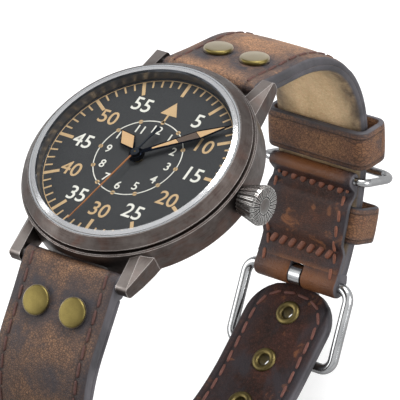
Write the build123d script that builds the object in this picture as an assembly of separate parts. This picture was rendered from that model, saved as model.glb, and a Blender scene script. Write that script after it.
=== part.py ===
from build123d import *
from math import atan2, cos, degrees, pi, radians, sin
import os

# Pilot watch on a riveted leather strap, closed into its wearing loop.
# Millimetres. Z runs out through the dial, Y to twelve o'clock, X to the crown.
# The origin is the centre of the case back's outer face.

# Clearances
turn_gap = 0.03
seat_gap = 0.02
leather_gap = 0.15
bridge_gap = 0.15
loose_gap = 0.35

# Case
case_radius = 21.0
case_wall = 3.55
case_low_z = 3.3
dial_z = 8.8
dial_radius = case_radius - case_wall
dial_thick = 0.4
dial_ledge_width = 0.65
dial_ledge_radius = dial_radius - dial_ledge_width
spigot_step = 1.0
spigot_radius = case_radius - spigot_step
bezel_low_z = 9.15
bezel_step = 0.5
bezel_radius = case_radius - bezel_step
bezel_side_z = 9.5
bezel_top_z = 11.15
case_edge_bevel = 0.25
rehaut_lap = 0.05
rehaut_radius = dial_radius - rehaut_lap
rehaut_wall = 0.6
crystal_low_z = 10.8
crystal_side_z = 11.05
crystal_bevel_z = 11.3
crystal_top_z = 11.8
crystal_lap = 1.05
crystal_radius = rehaut_radius + crystal_lap
crystal_bevel_width = 0.95
crystal_flat_radius = crystal_radius - crystal_bevel_width
gasket_wall = 0.3
bezel_lip_width = 0.15
bezel_lip_radius = crystal_radius + gasket_wall + bezel_lip_width

# Lugs
lug_inner_x = 10.3
lug_root_x = 14.0
lug_mid_x = 13.3
lug_tip_x = 12.5
lug_root_y = 11.5
lug_mid_y = 17.5
lug_tip_back = 1.6
lug_top_root_z = 8.0
lug_top_tip_z = 6.5
lug_low_mid_z = 3.6
lug_low_tip_z = 4.3
lug_low_bend_run = 1.7
lug_end_round = 0.9
lug_bevel_root_z = 6.7

# Spring bars
bar_stand_off = 1.2
bar_y = case_radius + bar_stand_off
bar_z = 5.2
lug_tip_y = bar_y + lug_tip_back
lug_low_bend_y = bar_y - lug_low_bend_run
bar_radius = 0.9
bar_tip_radius = 0.45
bar_tip_length = 1.3
loop_relief_radius = 2.05

# Case back
back_plug_lap = 0.7
back_plug_radius = dial_radius - back_plug_lap
back_rim_width = 2.25
back_rim_radius = back_plug_radius + back_rim_width
back_rim_z = 1.9
back_step_width = 0.8
back_step_radius = back_rim_radius - back_step_width
back_step_z = 1.1
back_slope_width = 1.6
back_face_radius = back_step_radius - back_slope_width
back_floor_z = 0.9
back_plug_top_z = 4.6
back_plug_wall = 1.5
back_notch_radius = 0.9
back_notch_depth = 0.5
back_notch_inset = 1.4
back_notch_orbit = back_face_radius - back_notch_inset
back_notch_count = 6
back_gasket_wall = 0.7
back_gasket_height = 0.55

# Movement
holder_top_step_z = 6.8
plate_radius = 13.0
plate_flange_radius = 13.6
plate_low_z = 5.7
plate_top_z = 7.2
bridge_low_z = 3.9
bridge_high_z = 2.9
bridge_radius = 12.8
bridge_split = 1.5
pillar_radius = 0.9
pillar_orbit = 11.8
barrel_pillar_angles = (95, 345)
train_pillar_angles = (160, 250)
cock_pillar_angle = 280
screw_radius = 0.45
screw_head_radius = 0.75
screw_head_depth = 0.35
jewel_radius = 0.55
jewel_depth = 0.3
arbor_radius = 0.12
spoke_width = 0.45
hub_radius = 0.75
rim_width = 0.55

# Train
center_teeth = 80
center_pinion_teeth = 12
third_pinion_teeth = 10
third_teeth = 75
fourth_pinion_teeth = 10
fourth_teeth = 80
escape_pinion_teeth = 8
escape_teeth = 15
barrel_teeth = 84
third_distance = 6.0
third_angle = 200
escape_distance = 5.7
escape_angle = 275
barrel_distance = 6.72
barrel_angle = 45
addendum_share = 0.6
dedendum_share = 0.9
tooth_share = 0.42
tooth_foot_share = 1.3
tooth_crest_share = 0.6
center_low_z = 5.2
center_high_z = 5.45
center_pinion_low_z = 4.7
center_pinion_high_z = 5.1
third_pinion_high_z = 5.5
third_low_z = 4.3
third_high_z = 4.5
fourth_pinion_high_z = 4.6
fourth_low_z = 3.95
fourth_high_z = 4.1
barrel_low_z = 4.2
barrel_high_z = 5.05
barrel_rim_low_z = 4.75
barrel_wall_radius = 5.45

# Escapement
escape_low_z = 4.75
escape_high_z = 4.9
escape_radius = 2.0
escape_root_radius = 1.5
escape_tip_shares = (0.55, 0.75)
escape_foot_share = 0.72
pallet_distance = 2.75
lever_angle = 349
balance_distance = 2.9
pallet_low_z = 4.7
pallet_high_z = 4.95
pallet_arm = 1.35
pallet_half_spread = 1.25
pallet_width = 0.34
lever_reach = 1.95
lever_width = 0.3
fork_width = 0.8
fork_depth = 0.5
fork_slot = 0.34
balance_radius = 3.3
balance_rim = 0.45
balance_low_z = 4.1
balance_high_z = 4.5
roller_radius = 0.4
roller_low_z = 4.65
roller_high_z = 5.05
impulse_radius = 0.12
hairspring_low_z = 3.7
hairspring_high_z = 3.85
hairspring_inner = 0.45
hairspring_outer = 2.3
hairspring_coil = 0.09
hairspring_turns = 5
cock_low_z = 3.6
cock_high_z = 2.8
cock_width = 2.6
cock_room = 3.9
cock_gap = 0.3

# Motion work
cannon_teeth = 10
minute_wheel_teeth = 30
minute_pinion_teeth = 8
hour_wheel_teeth = 32
motion_distance = 3.4
motion_angle = 250
cannon_low_z = 7.25
cannon_tooth_z = 7.6
minute_wheel_high_z = 7.55
minute_pinion_high_z = 8.05
hour_wheel_low_z = 7.7
hour_wheel_high_z = 8.0
second_arbor_radius = 0.15
center_tube_inner = 0.2
center_tube_radius = 0.45
cannon_radius = 0.75
hour_pipe_inner = 0.8
hour_pipe_radius = 1.05

# Hands
hour_hand_z = 9.4
minute_hand_z = 9.9
second_hand_z = 10.35
hand_thick = 0.16
hour_angle = 304.0
minute_angle = 51.0
second_angle = 191.5
hour_boss = 1.45
hour_neck = 0.55
hour_neck_reach = 1.5
hour_wide_reach = 4.2
hour_wide = 2.9
hour_tip_reach = 7.0
minute_boss = 1.2
minute_neck = 0.6
minute_wide_reach = 11.5
minute_wide = 1.9
minute_tip_gap = 0.55
minute_tip_reach = dial_radius - minute_tip_gap
second_boss = 0.75
second_width = 0.3
second_tip_width = 0.14
second_tip_gap = 0.95
second_tip_reach = dial_radius - second_tip_gap
second_tail_reach = 6.1
second_weight_width = 0.9
second_weight_near = 3.4
tip_width = 0.12

# Rotor
rotor_radius = 12.3
rotor_rim_inner = 10.6
rotor_low_z = 1.3
rotor_plate_low_z = 2.1
rotor_high_z = 2.5
rotor_hub_radius = 2.6
rotor_start_angle = 250
rotor_sweep = 190
bearing_radius = 1.5
bearing_flange = 2.0
bearing_flange_low_z = 1.6

# Crown and keyless work
crown_z = 6.0
crown_stand_off = 0.3
crown_near_x = case_radius + crown_stand_off
crown_long = 4.2
crown_face_x = crown_near_x + crown_long
crown_radius = 3.5
crown_root_radius = 2.5
crown_wide_run = 3.7
crown_wide_x = crown_near_x + crown_wide_run
crown_lip_radius = 3.3
crown_bore_radius = 1.75
crown_bore_depth = 2.6
crown_disc_radius = 1.6
crown_face_sink = 0.25
flute_count = 24
flute_radius = 0.22
face_groove_width = 0.22
disc_groove_width = 0.18
tube_radius = 1.45
tube_bore_radius = 0.75
tube_out_run = 2.2
tube_out_x = case_radius + tube_out_run
tube_in_run = 3.4
tube_in_x = case_radius - tube_in_run
crown_gasket_run = 1.2
crown_gasket_x = case_radius + crown_gasket_run
crown_gasket_width = 0.6
stem_radius = 0.5
stem_in_x = 7.6
stem_out_run = 3.4
stem_out_x = case_radius + stem_out_run
pinion_radius = 1.05
winding_near_x = 10.9
winding_far_x = 12.1
sliding_near_x = 8.7
sliding_far_x = 10.3
stem_pocket_near_x = 7.0
stem_pocket_far_x = 12.3
pocket_half_width = 1.25
pinion_tooth_depth = 0.25
pinion_tooth_count = 12

# Strap sections, followed along the outer face from each spring bar
strap_half_width = 10.0
strap_end_half_width = 9.1
taper_start_z = -4.0
taper_end_z = -45.0
strap_thick = 3.4
strap_thin = 2.6
lining_thick = 1.1
glue_gap = 0.02
start_angle = -30.3
flat_run = 12.0
padding_end = 30.0
shoulder_radius = 23.3
twelve_shoulder_run = 33.6
twelve_lower_radius = 48.7
twelve_length = 77.5
six_tail_run = 17.2
lining_start = 2.6
station_step = 5.0
tail_round = 7.5

# Rivets and eyelets
rivet_run = 6.8
rivet_x = 3.9
rivet_head_radius = 2.65
rivet_head_height = 1.3
rivet_post_radius = 1.1
rivet_cap_radius = 2.4
rivet_cap_height = 0.5
eyelet_end = 5.9
eyelet_spacing = 10.0
eyelet_count = 5
eyelet_radius = 2.4
eyelet_bore = 1.1
eyelet_wall = 0.35
eyelet_flange = 0.3

# Keepers, flap and buckle
flap_thick = 1.2
flap_slope_run = 2.6
flap_step = 1.0
flap_length = 21.9
flap_start = twelve_length - flap_length
roll_radius = 2.2
roll_depth = 1.7
ring_roll_radius = 1.6
leather_end_back = 2.6
leather_end = twelve_length - leather_end_back
free_keeper_back = 28.3
free_keeper_run = twelve_length - free_keeper_back
free_keeper_gap = 0.8
keeper_length = 7.6
keeper_wall = 1.3
keeper_rise = 2.6
keeper_round = 1.2
fixed_keeper_back = 12.5
fixed_keeper_run = twelve_length - fixed_keeper_back
fixed_keeper_length = 6.9
fixed_keeper_wall = 1.0
fixed_keeper_rise = 3.1
ring_wire_radius = 0.75
ring_length = 11.2
ring_tilt = 9.0
ring_half_width = 11.2
ring_corner = 1.8
ring_end_corner = 4.0
buckle_wire_radius = 1.0
buckle_half_width = 11.5
buckle_long = 15.378
buckle_lift = 7.675
buckle_corner = 2.3
prong_half_width = 1.2
prong_tip_half_width = 0.8
prong_thick = 1.0
prong_swing = 55.45
prong_over = 1.5
prong_slot_half_width = 1.45
tail_reach = 5.068
tail_lift = 61.114
tail_turn = 163.02


def disc(radius, low, high):
    return Pos(0, 0, low) * extrude(Circle(radius), high - low)


def ring(outer, inner, low, high):
    return Pos(0, 0, low) * extrude(Circle(outer) - Circle(inner), high - low)


def turned(points):
    outline = Polyline(*[(r, 0, z) for r, z in points], close=True)
    return revolve(make_face(outline), Axis.Z)


def polar(distance, angle):
    return Vector(distance * cos(radians(angle)), distance * sin(radians(angle)))


def at(place, shape):
    return Pos(place.X, place.Y, 0) * shape


# A toothed outline with flat flanks, one tooth centred on the angle given.
def toothed(teeth, pitch_radius, phase):
    size = 2 * pitch_radius / teeth
    tip = pitch_radius + addendum_share * size
    root = pitch_radius - dedendum_share * size
    step = 360 / teeth
    corners = []
    for index in range(teeth):
        middle = phase + index * step
        half = tooth_share * step / 2
        corners.append(polar(root, middle - half * tooth_foot_share))
        corners.append(polar(tip, middle - half * tooth_crest_share))
        corners.append(polar(tip, middle + half * tooth_crest_share))
        corners.append(polar(root, middle + half * tooth_foot_share))
    return make_face(Polyline(*corners, close=True))


def pinion(teeth, pitch_radius, phase, low, high):
    return Pos(0, 0, low) * extrude(toothed(teeth, pitch_radius, phase), high - low)


# A crossed-out wheel: toothed rim, five spokes and a hub.
def wheel(teeth, pitch_radius, phase, low, high):
    root = pitch_radius - dedendum_share * 2 * pitch_radius / teeth
    window = Circle(root - rim_width) - Circle(hub_radius)
    for index in range(5):
        spoke = Rectangle(root, spoke_width, align=(Align.MIN, Align.CENTER))
        window -= Rot(0, 0, index * 72) * spoke
    return Pos(0, 0, low) * extrude(toothed(teeth, pitch_radius, phase) - window, high - low)


def mesh_phase(angle, teeth):
    return angle + 180 + 180 / teeth


third_at = polar(third_distance, third_angle)
escape_at = polar(escape_distance, escape_angle)
pallet_at = escape_at + polar(pallet_distance, lever_angle)
balance_at = pallet_at + polar(balance_distance, lever_angle)
barrel_at = polar(barrel_distance, barrel_angle)
motion_at = polar(motion_distance, motion_angle)

center_pitch = third_distance * center_teeth / (center_teeth + third_pinion_teeth)
fourth_pinion_pitch = third_distance * fourth_pinion_teeth / (third_teeth + fourth_pinion_teeth)
fourth_pitch = escape_distance * fourth_teeth / (fourth_teeth + escape_pinion_teeth)
barrel_pitch = barrel_distance * barrel_teeth / (barrel_teeth + center_pinion_teeth)
cannon_pitch = motion_distance * cannon_teeth / (cannon_teeth + minute_wheel_teeth)
hour_pitch = motion_distance * hour_wheel_teeth / (hour_wheel_teeth + minute_pinion_teeth)


def make_lug():
    plan = Polyline(
        (lug_inner_x, lug_root_y), (lug_root_x, lug_root_y), (lug_mid_x, lug_mid_y),
        (lug_tip_x, lug_tip_y), (lug_inner_x, lug_tip_y), close=True)
    side = FilletPolyline(
        (lug_root_y, case_low_z), (lug_root_y, lug_top_root_z), (lug_mid_y, lug_top_root_z),
        (lug_tip_y, lug_top_tip_z), (lug_tip_y, lug_low_tip_z), (lug_low_bend_y, lug_low_mid_z),
        (lug_mid_y, case_low_z), radius=lug_end_round, close=True)
    lug = extrude(make_face(plan), dial_z)
    lug &= extrude(Plane.YZ * make_face(side), lug_root_x)
    tip = Vector(lug_tip_x, lug_tip_y, lug_top_tip_z)
    root = Vector(lug_root_x, lug_root_y, lug_bevel_root_z)
    along = tip - root
    bevel = Plane(origin=root, x_dir=along, z_dir=Vector(1, 0, -1).cross(along))
    size = 2 * case_radius
    return lug - bevel * Box(size, size, size, align=(Align.CENTER, Align.CENTER, Align.MIN))


def across(y, z, radius, half_length):
    return Pos(0, y, z) * Rot(0, 90, 0) * Cylinder(radius, 2 * half_length)


def make_mid_case():
    case = turned([
        (back_plug_radius + seat_gap, case_low_z), (case_radius - case_edge_bevel, case_low_z),
        (case_radius, case_low_z + case_edge_bevel), (case_radius, dial_z - case_edge_bevel),
        (case_radius - case_edge_bevel, dial_z), (spigot_radius, dial_z),
        (spigot_radius, bezel_low_z), (rehaut_radius + rehaut_wall + seat_gap, bezel_low_z),
        (rehaut_radius + rehaut_wall + seat_gap, dial_z), (dial_radius + seat_gap, dial_z),
        (dial_radius + seat_gap, dial_z - dial_thick), (dial_ledge_radius, dial_z - dial_thick),
        (dial_ledge_radius, case_low_z + back_gasket_height),
        (back_plug_radius + back_gasket_wall, case_low_z + back_gasket_height),
        (back_plug_radius + back_gasket_wall, case_low_z)])
    lug = make_lug()
    lugs = lug + mirror(lug, Plane.YZ)
    lugs += mirror(lugs, Plane.XZ)
    lugs -= disc(case_radius - case_edge_bevel, 0, dial_z)
    case += lugs
    for side in (1, -1):
        case -= across(side * bar_y, bar_z, loop_relief_radius, lug_inner_x)
        hole = across(side * bar_y, bar_z, bar_tip_radius + turn_gap, lug_inner_x + bar_tip_length)
        case -= hole
    bore = Rot(0, 90, 0) * Cylinder(
        tube_radius + seat_gap, case_radius, align=(Align.CENTER, Align.CENTER, Align.MIN))
    return case - Pos(0, 0, crown_z) * bore


def make_bezel():
    inner = rehaut_radius + rehaut_wall + seat_gap
    seat = crystal_radius + gasket_wall + seat_gap
    return turned([
        (inner, bezel_low_z), (bezel_radius - case_edge_bevel, bezel_low_z),
        (bezel_radius, bezel_low_z + case_edge_bevel), (bezel_radius, bezel_side_z),
        (bezel_lip_radius, bezel_top_z), (seat, bezel_top_z), (seat, crystal_low_z),
        (inner, crystal_low_z)])


def make_crystal():
    side = Polyline(
        (0, crystal_low_z), (crystal_radius, crystal_low_z), (crystal_radius, crystal_side_z),
        (crystal_flat_radius, crystal_bevel_z))
    half_chord = crystal_flat_radius
    rise = crystal_top_z - crystal_bevel_z
    bend = (half_chord * half_chord + rise * rise) / (2 * rise)
    dome = RadiusArc((crystal_flat_radius, crystal_bevel_z), (0, crystal_top_z), -bend)
    axis = Line((0, crystal_top_z), (0, crystal_low_z))
    return revolve(Plane.XZ * make_face(side + dome + axis), Axis.Z)


def make_rehaut():
    inner = rehaut_radius
    return ring(inner + rehaut_wall, inner, dial_z, crystal_low_z)


def make_dial():
    return ring(dial_radius, hour_pipe_radius + turn_gap, dial_z - dial_thick, dial_z)


def make_case_back():
    back = turned([
        (0, 0), (back_face_radius, 0), (back_step_radius, back_step_z),
        (back_rim_radius, back_rim_z), (back_rim_radius, case_low_z),
        (back_plug_radius, case_low_z), (back_plug_radius, back_plug_top_z),
        (back_plug_radius - back_plug_wall, back_plug_top_z),
        (back_plug_radius - back_plug_wall, back_floor_z), (0, back_floor_z)])
    for index in range(back_notch_count):
        place = polar(back_notch_orbit, index * 360 / back_notch_count)
        back -= at(place, disc(back_notch_radius, 0, back_notch_depth))
    return back


def make_case_back_gasket():
    inner = back_plug_radius + seat_gap
    outer = back_plug_radius + back_gasket_wall - seat_gap
    return ring(outer, inner, case_low_z, case_low_z + back_gasket_height - seat_gap)


def make_movement_holder():
    outer = back_plug_radius
    holder = ring(outer, plate_radius + seat_gap, back_plug_top_z, dial_z - dial_thick)
    holder -= disc(plate_flange_radius + seat_gap, holder_top_step_z, dial_z)
    slot = Box(case_radius, 2 * pocket_half_width, 2 * pocket_half_width, align=Align.CENTER)
    return holder - Pos(case_radius, 0, crown_z) * slot


def make_mainplate():
    plate = disc(plate_radius, plate_low_z, plate_top_z)
    plate += disc(plate_flange_radius, holder_top_step_z, plate_top_z)
    plate -= disc(center_tube_radius + turn_gap, plate_low_z, plate_top_z)
    plate -= at(motion_at, disc(arbor_radius + turn_gap, plate_low_z, plate_top_z))
    for place in (third_at, escape_at, pallet_at, balance_at, barrel_at):
        plate -= at(place, disc(arbor_radius + turn_gap, plate_low_z, plate_low_z + jewel_depth))
    height = plate_top_z - plate_low_z
    width = stem_pocket_far_x - stem_pocket_near_x
    pocket = Box(width, 2 * pocket_half_width, height, align=(Align.MIN, Align.CENTER, Align.MIN))
    plate -= Pos(stem_pocket_near_x, 0, plate_low_z) * pocket
    channel = Rot(0, 90, 0) * Cylinder(
        stem_radius + turn_gap, case_radius, align=(Align.CENTER, Align.CENTER, Align.MIN))
    return plate - Pos(stem_pocket_near_x, 0, crown_z) * channel


def make_barrel():
    phase = mesh_phase(barrel_angle, barrel_teeth)
    drum = disc(barrel_wall_radius, barrel_low_z, barrel_high_z)
    drum += pinion(barrel_teeth, barrel_pitch, phase, barrel_rim_low_z, barrel_high_z)
    drum += disc(hub_radius, barrel_low_z, plate_low_z - seat_gap)
    drum += disc(arbor_radius, bridge_low_z - jewel_depth, plate_low_z + jewel_depth - seat_gap)
    return at(barrel_at, drum)


def pillars(angles, high):
    legs = []
    for angle in angles:
        legs.append(at(polar(pillar_orbit, angle), disc(pillar_radius, high, plate_low_z)))
    return legs


def screw_holes(angles, high):
    holes = []
    for angle in angles:
        hole = disc(screw_radius + seat_gap, high, plate_low_z)
        hole += disc(screw_head_radius + seat_gap, high, high + screw_head_depth)
        holes.append(at(polar(pillar_orbit, angle), hole))
    return holes


def pivot_hole(place):
    return at(place, disc(jewel_radius, bridge_low_z - jewel_depth, bridge_low_z))


def cock_outline(width, end_radius):
    span = polar(pillar_orbit, cock_pillar_angle) - balance_at
    arm = Rectangle(span.length, width, align=(Align.MIN, Align.CENTER))
    arm = Rot(0, 0, degrees(atan2(span.Y, span.X))) * arm
    return arm + Circle(width / 2) + Pos(span.X, span.Y) * Circle(end_radius)


def make_bridge(side, angles, pivots):
    plate = disc(bridge_radius, bridge_high_z, bridge_low_z)
    size = 4 * bridge_radius
    block = Box(size, size, size, align=(Align.MIN, Align.CENTER, Align.CENTER))
    cut = Rot(0, 0, 45 if side > 0 else 225) * block
    shift = polar(bridge_split + (bridge_gap if side < 0 else 0), 225)
    plate &= Pos(shift.X, shift.Y, 0) * cut
    plate -= at(balance_at, disc(cock_room, 0, plate_low_z))
    gap = cock_outline(cock_width + 2 * cock_gap, cock_width / 2 + cock_gap)
    plate -= at(balance_at, extrude(gap, plate_low_z))
    plate += pillars(angles, bridge_high_z)
    plate -= screw_holes(angles, bridge_high_z)
    for place in pivots:
        plate -= pivot_hole(place)
    return plate


def make_barrel_bridge():
    return make_bridge(1, barrel_pillar_angles, (Vector(0, 0), barrel_at))


def make_train_bridge():
    bridge = make_bridge(-1, train_pillar_angles, (third_at, escape_at))
    return bridge.solids().sort_by(SortBy.VOLUME)[-1]


def make_bridge_screws():
    screws = []
    for angle in barrel_pillar_angles + train_pillar_angles:
        screw = disc(screw_radius, bridge_high_z + screw_head_depth, plate_low_z)
        screw += disc(screw_head_radius, bridge_high_z, bridge_high_z + screw_head_depth)
        screws.append(at(polar(pillar_orbit, angle), screw))
    screw = disc(screw_radius, cock_high_z + screw_head_depth, plate_low_z)
    screw += disc(screw_head_radius, cock_high_z, cock_high_z + screw_head_depth)
    screws.append(at(polar(pillar_orbit, cock_pillar_angle), screw))
    return Compound(screws)


def make_train_jewels():
    jewel = ring(jewel_radius - seat_gap, arbor_radius + turn_gap,
                 bridge_low_z - jewel_depth, bridge_low_z)
    center = ring(jewel_radius - seat_gap, second_arbor_radius + turn_gap,
                  bridge_low_z - jewel_depth, bridge_low_z)
    stones = [at(place, jewel) for place in (third_at, escape_at, barrel_at)]
    return Compound(stones + [center])


def make_center_wheel():
    piece = wheel(center_teeth, center_pitch, third_angle, center_low_z, center_high_z)
    pitch = barrel_distance - barrel_pitch
    leaves = pinion(center_pinion_teeth, pitch, barrel_angle,
                    center_pinion_low_z, center_pinion_high_z)
    piece += leaves
    piece += disc(center_tube_radius, center_pinion_low_z, minute_hand_z)
    return piece - disc(center_tube_inner, center_pinion_low_z, minute_hand_z)


def make_third_wheel():
    phase = mesh_phase(third_angle, third_pinion_teeth)
    piece = pinion(third_pinion_teeth, third_distance - center_pitch, phase,
                   third_high_z, third_pinion_high_z)
    piece += wheel(third_teeth, third_distance - fourth_pinion_pitch,
                   third_angle + 180, third_low_z, third_high_z)
    piece += disc(arbor_radius, bridge_low_z - jewel_depth, plate_low_z + jewel_depth - seat_gap)
    return at(third_at, piece)


def make_fourth_wheel():
    phase = mesh_phase(third_angle + 180, fourth_pinion_teeth)
    piece = pinion(fourth_pinion_teeth, fourth_pinion_pitch, phase,
                   fourth_high_z, fourth_pinion_high_z)
    piece += wheel(fourth_teeth, fourth_pitch, escape_angle, fourth_low_z, fourth_high_z)
    arbor = disc(second_arbor_radius, bridge_low_z - jewel_depth, second_hand_z + hand_thick)
    return piece + arbor


# Escape wheel with pointed club teeth.
def make_escape_wheel():
    corners = []
    step = 360 / escape_teeth
    for index in range(escape_teeth):
        corners.append(polar(escape_root_radius, index * step))
        for share in escape_tip_shares:
            corners.append(polar(escape_radius, (index + share) * step))
        corners.append(polar(escape_root_radius, (index + escape_foot_share) * step))
    rim = make_face(Polyline(*corners, close=True)) - Circle(escape_root_radius - spoke_width)
    for index in range(2):
        rim += Rot(0, 0, index * 90) * Rectangle(2 * escape_root_radius, spoke_width)
    piece = Pos(0, 0, escape_low_z) * extrude(rim, escape_high_z - escape_low_z)
    phase = mesh_phase(escape_angle, escape_pinion_teeth)
    piece += pinion(escape_pinion_teeth, escape_distance - fourth_pitch, phase,
                    fourth_low_z, fourth_high_z)
    piece += disc(arbor_radius, bridge_low_z - jewel_depth, plate_low_z + jewel_depth - seat_gap)
    return at(escape_at, piece)


def make_pallet_fork():
    lever = Rectangle(lever_reach, lever_width, align=(Align.MIN, Align.CENTER))
    lever += Pos(lever_reach, 0) * Rectangle(fork_depth, fork_width)
    lever -= Pos(lever_reach, 0) * Rectangle(fork_depth, fork_slot, align=(Align.MIN, Align.CENTER))
    lever += Rectangle(lever_width, 2 * pallet_half_spread)
    for side in (1, -1):
        foot = Rectangle(pallet_arm / 2, pallet_width, align=(Align.MAX, Align.CENTER))
        lever += Pos(0, side * (pallet_half_spread - pallet_width / 2)) * foot
    lever += Circle(2 * lever_width)
    fork = Pos(0, 0, pallet_low_z) * extrude(lever, pallet_high_z - pallet_low_z)
    fork += disc(arbor_radius, pallet_low_z - jewel_depth / 2, plate_low_z + jewel_depth - seat_gap)
    return at(pallet_at, Rot(0, 0, lever_angle) * fork)


def make_balance_wheel():
    rim = Circle(balance_radius) - Circle(balance_radius - balance_rim)
    rim += Rectangle(2 * balance_radius - balance_rim, spoke_width)
    piece = Pos(0, 0, balance_low_z) * extrude(rim, balance_high_z - balance_low_z)
    piece += disc(hub_radius / 2, balance_low_z, roller_low_z)
    piece += disc(roller_radius, roller_low_z, roller_high_z)
    pin = Pos(-roller_radius, 0, 0) * disc(impulse_radius, roller_low_z, roller_high_z)
    piece += pin
    piece += disc(arbor_radius, cock_low_z - jewel_depth, plate_low_z + jewel_depth - seat_gap)
    return at(balance_at, Rot(0, 0, lever_angle) * piece)


def make_hairspring():
    rings = []
    pitch = (hairspring_outer - hairspring_inner) / hairspring_turns
    for index in range(2 * hairspring_turns):
        radius = hairspring_inner + index * pitch / 2
        shift = pitch / 4 if index % 2 else -pitch / 4
        coil = Circle(radius + hairspring_coil) - Circle(radius)
        half = Rectangle(4 * hairspring_outer, 2 * hairspring_outer, align=(Align.CENTER, Align.MIN))
        coil &= half if index % 2 else Rot(0, 0, 180) * half
        rings.append(Pos(shift, 0) * coil)
    sketch = rings[0]
    for piece in rings[1:]:
        sketch += piece
    sketch += Circle(hairspring_inner + hairspring_coil)
    sketch -= Circle(arbor_radius + seat_gap)
    spring = Pos(0, 0, hairspring_low_z) * extrude(sketch, hairspring_high_z - hairspring_low_z)
    return at(balance_at, spring)


def make_balance_cock():
    foot = polar(pillar_orbit, cock_pillar_angle)
    arm = cock_outline(cock_width, pillar_radius)
    cock = at(balance_at, Pos(0, 0, cock_high_z) * extrude(arm, cock_low_z - cock_high_z))
    cock &= disc(bridge_radius, 0, dial_z)
    cock += at(foot, disc(pillar_radius, cock_high_z, plate_low_z))
    cock -= at(balance_at, disc(arbor_radius + turn_gap, cock_low_z - jewel_depth, cock_low_z))
    cock -= screw_holes((cock_pillar_angle,), cock_high_z)
    return cock


def make_cannon_pinion():
    piece = pinion(cannon_teeth, cannon_pitch, motion_angle, cannon_low_z, cannon_tooth_z)
    piece += disc(cannon_radius, cannon_tooth_z, minute_hand_z)
    return piece - disc(center_tube_radius + seat_gap, cannon_low_z, minute_hand_z)


def make_minute_wheel():
    phase = mesh_phase(motion_angle, minute_wheel_teeth)
    piece = wheel(minute_wheel_teeth, motion_distance - cannon_pitch, phase,
                  cannon_low_z, minute_wheel_high_z)
    piece += pinion(minute_pinion_teeth, motion_distance - hour_pitch, motion_angle + 180,
                    minute_wheel_high_z, minute_pinion_high_z)
    piece += disc(arbor_radius, plate_low_z, minute_pinion_high_z)
    return at(motion_at, piece)


def make_hour_wheel():
    phase = mesh_phase(motion_angle + 180, hour_wheel_teeth)
    piece = wheel(hour_wheel_teeth, hour_pitch, phase, hour_wheel_low_z, hour_wheel_high_z)
    piece += disc(hour_pipe_radius, hour_wheel_low_z, hour_hand_z)
    return piece - disc(hour_pipe_inner, hour_wheel_low_z, hour_hand_z)


# A hand drawn pointing at twelve, turned clockwise to its reading.
def make_hand(outline, boss, bore, low, angle):
    shape = make_face(outline) + Circle(boss) - Circle(bore)
    return Rot(0, 0, -angle) * Pos(0, 0, low) * extrude(shape, hand_thick)


def make_hour_hand():
    neck = hour_neck / 2
    wide = hour_wide / 2
    tip = tip_width / 2
    outline = Polyline(
        (-neck, 0), (-neck, hour_neck_reach), (-wide, hour_wide_reach), (-tip, hour_tip_reach),
        (tip, hour_tip_reach), (wide, hour_wide_reach), (neck, hour_neck_reach), (neck, 0),
        close=True)
    return make_hand(outline, hour_boss, hour_pipe_inner, hour_hand_z, hour_angle)


def make_minute_hand():
    neck = minute_neck / 2
    wide = minute_wide / 2
    tip = tip_width / 2
    outline = Polyline(
        (-neck, 0), (-wide, minute_wide_reach), (-tip, minute_tip_reach),
        (tip, minute_tip_reach), (wide, minute_wide_reach), (neck, 0), close=True)
    return make_hand(outline, minute_boss, center_tube_inner, minute_hand_z, minute_angle)


def make_second_hand():
    near = second_width / 2
    tip = second_tip_width / 2
    weight = second_weight_width / 2
    outline = Polyline(
        (-near, 0), (-tip, second_tip_reach), (tip, second_tip_reach), (near, 0),
        (near, -second_weight_near), (weight, -second_tail_reach), (-weight, -second_tail_reach),
        (-near, -second_weight_near), close=True)
    return make_hand(outline, second_boss, second_arbor_radius + seat_gap,
                     second_hand_z, second_angle)


def make_rotor():
    size = 2 * rotor_radius
    ends = (polar(size, rotor_start_angle), polar(size, rotor_start_angle + rotor_sweep / 2),
            polar(size, rotor_start_angle + rotor_sweep))
    sector = make_face(Polyline(Vector(0, 0), *ends, close=True))
    plate = (Circle(rotor_radius) & sector) + Circle(rotor_hub_radius)
    rim = (Circle(rotor_radius) - Circle(rotor_rim_inner)) & sector
    rotor = Pos(0, 0, rotor_plate_low_z) * extrude(plate, rotor_high_z - rotor_plate_low_z)
    rotor += Pos(0, 0, rotor_low_z) * extrude(rim, rotor_high_z - rotor_low_z)
    return rotor - disc(bearing_radius + turn_gap, rotor_low_z, rotor_high_z)


def make_rotor_bearing():
    stud = disc(bearing_radius, rotor_plate_low_z - turn_gap, bridge_high_z)
    stud += disc(bearing_flange, bearing_flange_low_z, rotor_plate_low_z - turn_gap)
    return stud


# Shapes turned about the crown's axis, from points given as distance out and radius.
def turned_on_stem(points):
    outline = Polyline(*[(x, 0, r) for x, r in points], close=True)
    return Pos(0, 0, crown_z) * revolve(make_face(outline), Axis.X)


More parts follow.
